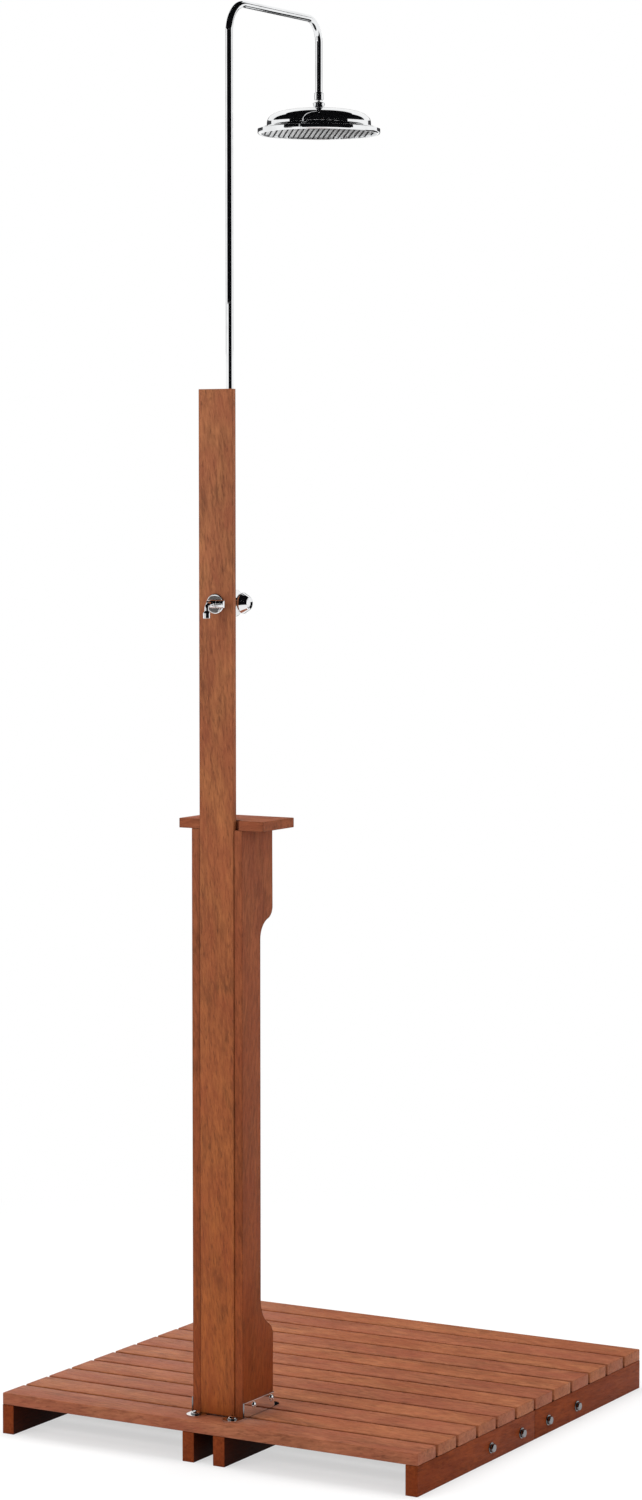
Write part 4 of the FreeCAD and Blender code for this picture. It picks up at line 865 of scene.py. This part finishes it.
def buildUnionNuts():
    mesh = bmesh.new()
    look = unionNut
    flats, collar, height = (look[key] * mm for key in ("flats", "collar", "height"))
    layers = [
        (circleRing(flats * look["roundShare"]), 0),
        (hexRing(flats), look["flatStart"] * mm),
        (hexRing(flats), height - look["flatEnd"] * mm),
        (circleRing(flats * look["roundShare"]), height - look["shoulder"] * mm),
        (circleRing(collar * look["lipShare"]), height - look["lip"] * mm),
        (circleRing(collar * look["endShare"]), height),
    ]
    for low, high in clusters("union_nuts"):
        way = up if low.z > nodeMiddle("valve_body").z else -up
        loftMesh(mesh, layers, placeAlong(boxEnd(low, high, -way), way))
    show(addPiece("union_nut_hexes", mesh), "union_nuts", "chromePlate")


def buildValve():
    nutLow, nutHigh = nodeBox("union_nuts")
    axis = Vector((0, nodeMiddle("lower_riser").y, nodeMiddle("union_nuts").z))
    half = (nutHigh.z - nutLow.z) / 2 / mm - unionNut["height"]
    reach = (axis.y - nodeBox("valve_body")[0].y) / mm
    size = valveSize
    width, edge = size["barrel"], size["edge"]
    barrel = [(0, -half), (width, -half, edge), (width, half, edge), (0, half)]
    branch = [(0, 0), (size["branch"], 0), (size["branch"], reach), (0, reach)]
    showTurned("valve_casting", "valve_body", [
        (barrel, axis, up), (size["flange"], axis, right), (branch, axis, -back)])
    seat = Vector((nodeBox("shower_handle")[0].x, axis.y, axis.z))
    showTurned("shower_handle_knob", "shower_handle", [(size["handle"], seat, right)], "shower_valve")


buildUnionNuts()
buildValve()
print("shower valve built")

# bib tap, in millimetres

tapSize = {
    "steps": 64, "left": 8, "barrel": ((0, 0), (6.8, 0, 1.2), (6.8, 16.5, 0.5), (0, 16.5)),
    "spigot": 7, "spigotRoot": ((0, 0), (5.8, 0), (5.8, 7), (7, 7.4)),
    "spout": 3.9, "spoutSteps": 40, "spoutBend": 8, "spoutAt": 6.2, "spoutFoot": 8.5,
    "outlet": ((4.8, 0), (6.2, 0, 0.5), (6.2, 8.5, 1.4), (3.8, 12.5, 1.2), (0, 12.5), (0, 3), (4.8, 3)),
    "plate": ((7, 0), (16.6, 0, 0.3), (16.6, 3, 2), (7, 3)),
}
tapHandle = {
    "foot": ((3.2, 0), (6.8, 0, 0.6)), "end": ((6.8, 14.5, 1.4), (0, 14.5), (0, 9), (3.2, 9)),
    "grooves": (3.4, 6, 8.6), "groove": ((6.8, 0), (6.45, 0.4), (6.45, 0.9), (6.8, 1.3)),
}


def buildTap():
    low, high = nodeBox("tap_body")
    middle = nodeMiddle("tap_handle")
    axis = Vector((0, middle.y, middle.z))
    size = tapSize
    spoutY = low.y + size["spoutAt"] * mm
    reach = (high.y - axis.y) / mm
    mesh = bmesh.new()
    route = routePoints([
        (spoutY, low.z + size["spoutFoot"] * mm), (spoutY, axis.z, size["spoutBend"] * mm), (axis.y, axis.z)])
    tubeMesh(mesh, route, size["spout"] * mm, 0, size["spoutSteps"])
    for corners, spot, direction in (
        (size["barrel"], axis - right * size["left"] * mm, right),
        ((*size["spigotRoot"], (size["spigot"], reach), (0, reach)), axis, back),
        (size["outlet"], Vector((0, spoutY, low.z)), up),
    ):
        mergeTurned(mesh, corners, spot, direction, size["steps"])
    show(addPiece("tap_casting", mesh), "tap_body", "chromePlate")
    look = tapHandle
    corners = [*look["foot"]]
    for start in look["grooves"]:
        corners += [(radius, start + along) for radius, along in look["groove"]]
    seat = Vector((nodeBox("tap_handle")[0].x, axis.y, axis.z))
    corners += look["end"]
    showTurned("tap_handle_knob", "tap_handle", [(corners, seat, right)], "bib_tap", size["steps"])
    seat = Vector((0, nodeBox("tap_escutcheon")[1].y, axis.z))
    showTurned("tap_escutcheon_plate", "tap_escutcheon", [(size["plate"], seat, -back)])


buildTap()
print("bib tap built")

# overhead shower, in millimetres with heights from the ball's centre

# skirt is the dome's foot outside and inner its foot inside; hub runs from the dome's top down into it
headSize = {
    "steps": 192, "radius": 88, "top": -7, "height": 27, "fullness": 2.9, "domeSteps": 36,
    "wall": 1.5, "hubFoot": 9.6, "inner": (86.5, -37.5), "smoothAngle": 30,
    "skirt": ((94, -37.5), (94, -37.3), (88.8, -36.1), (88.2, -35.7)),
    "hub": ((6.9, -5.8), (6.3, -4.6), (6.6, -3.6), (8, -2.6), (8.2, -2.2), (8.2, -0.3), (7.9, 0), (7.2, 0),
            (3, -6.54), (3, -9.5), (9.5, -9.5)),
    "rim": ((97, -49, 0.8), (103.5, -49, 3.5), (103.5, -40.3, 1), (94, -37.5), (86.5, -37.5), (86.5, -40),
            (100.4, -40), (100.4, -46.5), (97, -46.5)),
    "rimSteps": 8,
}
plateLook = {"faceHeight": 3.4, "gap": 0.2, "ease": 0.3, "easeSteps": 3, "steps": 128}
# each layer is a radius and a height, in millimetres from the plate's face
nozzleLook = {
    "pitch": 8.6, "field": 94, "turn": 34, "steps": 12,
    "layers": ((1.15, 0.2), (1, -0.4), (0.78, -1.932), (0.6, -2.1), (0.315, -2.1), (0.27, -1.47)),
}
jointSize = {
    "ball": 6, "ballSteps": 24, "bore": 1.6, "stem": 2.9, "thread": 5.2, "threadLength": 4.3,
    "nutFoot": (8.32, -4), "nut": (10.4, 3.4, 1), "nutTop": 5, "nutBore": ((8.25, 0), (8.25, -4)),
    "mouthOut": 1.6, "mouthEase": 0.4, "mouthIn": 0.3, "socket": 7.2, "socketSteps": 8,
}
# foot and top are how far in from the collar's radius, how far from its foot or top, and a rounding
collarSize = {
    "bore": (3.4, 0), "foot": ((1.2, 0, 0.3), (0, 1.2, 0.4)),
    "top": ((0, 3.4, 0.2), (0.5, 3.1, 0), (0.5, 2.6, 0), (0, 2.3, 0.2), (0, 0.9, 0.4), (0.9, 0, 0.2)),
    "socket": 6, "inside": ((6, 5.5), (5.2, 5.5), (5.2, 1.2), (3.4, 1.2)),
}


def ballCentre():
    # the ball is the widest round part at the foot of the ball stem
    low, high = nodeBox("ball_stem")
    radius = (high.x - low.x) / 2
    middle = (low + high) / 2
    return Vector((middle.x, middle.y, low.z + math.sqrt(radius * radius - (jointSize["bore"] * mm) ** 2)))


def domeCurve(inset):
    # the dome from its foot up to the hub, as (radius, height): steep at the side and flat on top
    size = headSize
    power = 2 / size["fullness"]
    radius = size["radius"] - inset
    height = size["height"] - inset
    hubAngle = math.asin((size["hubFoot"] / radius) ** (1 / power))
    points = []
    for index in range(size["domeSteps"] + 1):
        angle = math.pi / 2 + (hubAngle - math.pi / 2) * index / size["domeSteps"]
        points.append((radius * math.sin(angle) ** power,
                       size["top"] - size["height"] + height * math.cos(angle) ** power))
    return points


def buildHead():
    centre = ballCentre()
    size = headSize
    mesh = bmesh.new()
    hollow = reversed(domeCurve(size["wall"])[:-1])
    mergeTurned(mesh, [*size["skirt"], *domeCurve(0), *size["hub"], *hollow, size["inner"]], centre,
                steps=size["steps"])
    show(addPiece("head_dome_shell", mesh, size["smoothAngle"]), "head_dome", "chromePlate", "shower_head")
    showTurned("rim_ring_chrome", "rim_ring", [(size["rim"], centre, up)], "shower_head",
               size["steps"], size["rimSteps"])


def nozzleSpots():
    pitch, field = nozzleLook["pitch"], nozzleLook["field"]
    reach = int(field / pitch) + 1
    cells = range(-reach, reach + 1)
    spots = [Vector(((column + 0.5) * pitch, (line + 0.5) * pitch, 0)) for column in cells for line in cells]
    return [spot * mm for spot in spots if spot.length <= field]


def buildSprayPlate():
    low, high = nodeBox("spray_plate")
    look = plateLook
    face, ease = look["faceHeight"], look["ease"]
    radius = (high.x - low.x) / 2 / mm - look["gap"]
    top = (high.z - low.z) / mm
    foot = Vector(((low.x + high.x) / 2, (low.y + high.y) / 2, low.z))
    mesh = bmesh.new()
    mergeTurned(mesh, [(0, face), (radius, face, ease), (radius, top, ease), (0, top)], foot,
                steps=look["steps"], roundSteps=look["easeSteps"])
    plateFaces = len(mesh.faces)
    look = nozzleLook
    layers = [(circleRing(size * mm, look["steps"]), height * mm) for size, height in look["layers"]]
    middle = Matrix.Translation(foot + up * face * mm) @ Matrix.Rotation(math.radians(look["turn"]), 4, "Z")
    for spot in nozzleSpots():
        loftMesh(mesh, layers, middle @ Matrix.Translation(spot))
    piece = show(addPiece("spray_plate_nozzles", mesh), "spray_plate", "satinPlate", "shower_head")
    piece.data.materials.append(materials["nozzlePlastic"])
    for polygon in piece.data.polygons:
        if polygon.index >= plateFaces:
            polygon.material_index = 1


def buildJoint():
    centre = ballCentre()
    size = jointSize
    top, socket = size["nutTop"], size["socket"]
    mouth = math.sqrt(socket ** 2 - top ** 2)
    outside = roundCorners([size["nutFoot"], size["nut"], (mouth + size["mouthOut"], top, size["mouthEase"]),
                            (mouth + size["mouthIn"], top)], 5, closed=False)
    hollow = arcPoints((0, 0), socket, math.asin(top / socket), 0, size["socketSteps"])
    nut = [*outside, *hollow, *size["nutBore"]]
    showTurned("socket_nut_ball", "socket_nut", [(nut, centre, up)], "shower_head")
    low, high = nodeBox("arm_collar")
    height = (high.z - low.z) / mm
    radius = (high.x - low.x) / 2 / mm
    look = collarSize
    collar = [look["bore"]]
    collar += [(radius - drawn, rise, ease) for drawn, rise, ease in look["foot"]]
    collar += [(radius - drawn, height - fall, ease) for drawn, fall, ease in look["top"]]
    collar += [(look["socket"], height), *look["inside"]]
    showTurned("arm_collar_ring", "arm_collar", [(collar, Vector((centre.x, centre.y, low.z)), up)])
    top = (nodeBox("ball_stem")[1].z - centre.z) / mm
    shoulder = top - size["threadLength"]
    stem = arcPoints((0, 0), size["ball"], -math.acos(size["bore"] / size["ball"]),
                     math.acos(size["stem"] / size["ball"]), size["ballSteps"])
    stem += [(size["stem"], shoulder), (size["thread"], shoulder), (size["thread"], top), (size["bore"], top)]
    showTurned("ball_stem_turned", "ball_stem", [(stem, centre, up)])


buildHead()
buildSprayPlate()
buildJoint()
print("overhead shower built")

# inner pieces that keep their CAD meshes

keptLooks = {
    "boltSteel": ("deck_screws", "rail_screws", "clip_screws", "splice_nuts", "bracket_nuts"),
    "railWood": ("rail_dowels",),
    "chromePlate": ("pipe_clips",),
    "platedInlet": ("inlet_elbow",),
    "bearingPlastic": ("ball_seat", "slide_ring"),
    "turnedBrass": ("shower_spindle", "tap_spindle"),
}
for look, nodes in keptLooks.items():
    for node in nodes:
        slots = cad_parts[node].data.materials
        slots.clear()
        slots.append(materials[look])

# studio

cameraView = {
    "place": (3.1546, -5.4831, 1.6003),
    "azimuth": 30.039,
    "dip": 4.072,
    "focal": 3695.4,
    "pictureHeight": 1500,
    "sensor": 36,
}

studio = {
    "floorSize": 60,
    "floorColour": (240, 240, 240),
    "floorTint": (244, 244, 244),
    "floorMottle": (3, 4),
    "floorRough": 0.9,
    "fadeStart": 0.7,
    "fadeEnd": 2.0,
    "nearGlow": 0.58,
    "skyLight": 0.5,
    "skyColour": (1, 1, 1, 1),
    "lightSize": 3.2,
    "lightTarget": (0, -0.2, 1.0),
}
# where each light hangs, in metres, and its energy
lights = {
    "keyLight": ((-2.4, -4.0, 3.4), 100),
    "topLight": ((-0.4, 0.4, 4.6), 150),
    "sideLight": ((4.2, -0.6, 2.2), 45),
}


# dark cloths hung round the object for its chrome to show, as angles from the camera's own
# direction and from the horizon; only reflections see them
cloths = {
    "frontCloth": {"turn": (-32, 62), "rise": (-20, 7), "colour": (14, 14, 16)},
    "wideCloth": {"turn": (-68, 66), "rise": (7, 20), "colour": (14, 14, 16)},
    "overCloth": {"turn": (-122, 122), "rise": (20, 89), "colour": (14, 14, 16)},
    "rearCloth": {"turn": (122, 238), "rise": (54, 89), "colour": (16, 16, 18)},
    "rearCard": {"turn": (164, 196), "rise": (3.5, 20), "colour": (24, 24, 26)},
    "lowCard": {"turn": (124, 184), "rise": (-31, -1), "colour": (14, 14, 16), "distance": 2.9},
    "rightStrip": {"turn": (140, 164), "rise": (5, 18), "colour": (70, 70, 72)},
    "leftStrip": {"turn": (-164, -130), "rise": (5, 18), "colour": (70, 70, 72)},
    "greyStrip": {"turn": (-68, -52), "rise": (-20, 2), "colour": (104, 100, 98)},
}
# weave is a noise's scale and detail, and shadeShare how dark its darker threads are
clothHang = {"distance": 4.5, "height": 1.6, "step": 8, "weave": (40, 3), "shadeShare": 0.9}
# the sheet under the deck: its share of the deck's size, its height and its two colours
deckShade = {"share": 0.93, "height": mm, "colour": (10, 10, 10), "pale": (14, 14, 14)}


def weave(tree, shader, first, second):
    threads = noiseNode(tree, objectPlace(tree), *clothHang["weave"])
    setInputs(tree, shader, {"Base Color": mixColours(tree, threads, first, second), "Specular IOR Level": 0})


def hangUnseen(piece, material, hidden):
    # dresses a stage piece and hides it from the kinds of ray that are named
    piece.data.materials.append(material)
    for ray in ("camera", "transmission", "shadow", hidden):
        setattr(piece, "visible_" + ray, False)
    piece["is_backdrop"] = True


def mixSurface(tree, factor, shader, other):
    mix = addNode(tree, "ShaderNodeMixShader", None, {0: factor, 1: shader.outputs[0], 2: other.outputs[0]})
    setInputs(tree, tree.nodes["Material Output"], {"Surface": mix.outputs[0]})


def seenByEye(tree):
    path = addNode(tree, "ShaderNodeLightPath").outputs
    return path, mathNode(tree, "MAXIMUM", path["Is Camera Ray"], path["Is Glossy Ray"])


def buildCloth(name, look):
    steps = clothHang["step"]
    distance = look.get("distance", clothHang["distance"])
    mesh = bmesh.new()

    def between(ends, share):
        return ends[0] + (ends[1] - ends[0]) * share
    rows = []
    for index in range(steps + 1):
        rise = math.radians(between(look["rise"], index / steps))
        row = []
        for column in range(steps * 2 + 1):
            turn = math.radians(cameraView["azimuth"] + between(look["turn"], column / (steps * 2)))
            way = Vector((math.sin(turn) * math.cos(rise), -math.cos(turn) * math.cos(rise), math.sin(rise)))
            row.append(mesh.verts.new(way * distance + up * clothHang["height"]))
        rows.append(row)
    for low, high in zip(rows, rows[1:]):
        for column in range(len(low) - 1):
            mesh.faces.new((low[column], low[column + 1], high[column + 1], high[column]))
    piece = addPiece(name, mesh)
    material, tree, shader = newMaterial(name + "Weave")
    weave(tree, shader, linear(*look["colour"]), shaded(look["colour"], clothHang["shadeShare"]))
    shader.inputs["Roughness"].default_value = 1
    hangUnseen(piece, material, "diffuse")


def buildFloor():
    # a pale floor that shows the object's soft shadow and fades to plain white further out
    mesh = bmesh.new()
    bmesh.ops.create_grid(mesh, x_segments=1, y_segments=1, size=studio["floorSize"] / 2)
    piece = addPiece("studio_floor", mesh)
    material, tree, shader = newMaterial("floorPaint")
    place = objectPlace(tree)
    mottle = noiseNode(tree, place, *studio["floorMottle"])
    colour = mixColours(tree, mottle, linear(*studio["floorColour"]), linear(*studio["floorTint"]))
    rough = studio["floorRough"]
    setInputs(tree, shader, {"Base Color": colour, "Roughness": rough, "Specular IOR Level": 0})
    distance = addNode(tree, "ShaderNodeVectorMath", {"operation": "LENGTH"}, {0: place}).outputs["Value"]
    far = stretch(tree, distance, studio["fadeStart"], studio["fadeEnd"])
    near = addNode(tree, "ShaderNodeMapRange", None, {"To Min": studio["nearGlow"], "Value": far})
    share = mathNode(tree, "MULTIPLY", near.outputs["Result"], seenByEye(tree)[1])
    mixSurface(tree, share, shader, addNode(tree, "ShaderNodeEmission"))
    piece.data.materials.append(material)
    piece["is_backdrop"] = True


def buildWorld():
    # the sky is plain white where it is seen or mirrored, and lights the object more softly
    world = bpy.data.worlds.new("studio")
    bpy.context.scene.world = world
    world.use_nodes = True
    tree = world.node_tree
    path, seen = seenByEye(tree)
    seen = mathNode(tree, "MAXIMUM", seen, path["Is Transmission Ray"])
    strength = mathNode(tree, "MAXIMUM", seen, studio["skyLight"])
    setInputs(tree, tree.nodes["Background"], {"Strength": strength, "Color": studio["skyColour"]})


def buildShade():
    # keeps the floor's glow off the underside of the deck; from below and to the camera it is clear
    low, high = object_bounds()
    share = deckShade["share"]
    corners = [(low[0], low[1]), (high[0], low[1]), (high[0], high[1]), (low[0], high[1])]
    mesh = bmesh.new()
    mesh.faces.new([mesh.verts.new((x * share, y * share, deckShade["height"])) for x, y in corners])
    piece = addPiece("deckShade", mesh)
    material, tree, shader = newMaterial("shadeCloth")
    weave(tree, shader, linear(*deckShade["colour"]), linear(*deckShade["pale"]))
    facing = addNode(tree, "ShaderNodeNewGeometry").outputs["Backfacing"]
    mixSurface(tree, facing, shader, addNode(tree, "ShaderNodeBsdfTransparent"))
    hangUnseen(piece, material, "glossy")


def buildLights():
    target = Vector(studio["lightTarget"])
    for name, (spot, energy) in lights.items():
        data = bpy.data.lights.new(name, "AREA")
        data.energy = energy
        data.size = studio["lightSize"]
        light = bpy.data.objects.new(name, data)
        light.location = spot
        light.rotation_euler = (target - Vector(spot)).to_track_quat("-Z", "Y").to_euler()
        light.visible_glossy = False
        bpy.context.scene.collection.objects.link(light)


def buildCamera():
    data = bpy.data.cameras.new("photoCamera")
    data.sensor_width = cameraView["sensor"]
    data.lens = cameraView["focal"] / cameraView["pictureHeight"] * cameraView["sensor"]
    camera = bpy.data.objects.new("photoCamera", data)
    camera.location = cameraView["place"]
    tilt = math.radians(90 - cameraView["dip"])
    camera.rotation_euler = Euler((tilt, 0, math.radians(cameraView["azimuth"])))
    bpy.context.scene.collection.objects.link(camera)
    bpy.context.scene.camera = camera


buildCamera()
buildFloor()
buildWorld()
buildLights()
buildShade()
for name, look in cloths.items():
    buildCloth(name, look)
bpy.context.scene.view_settings.view_transform = "Standard"
print("studio built")
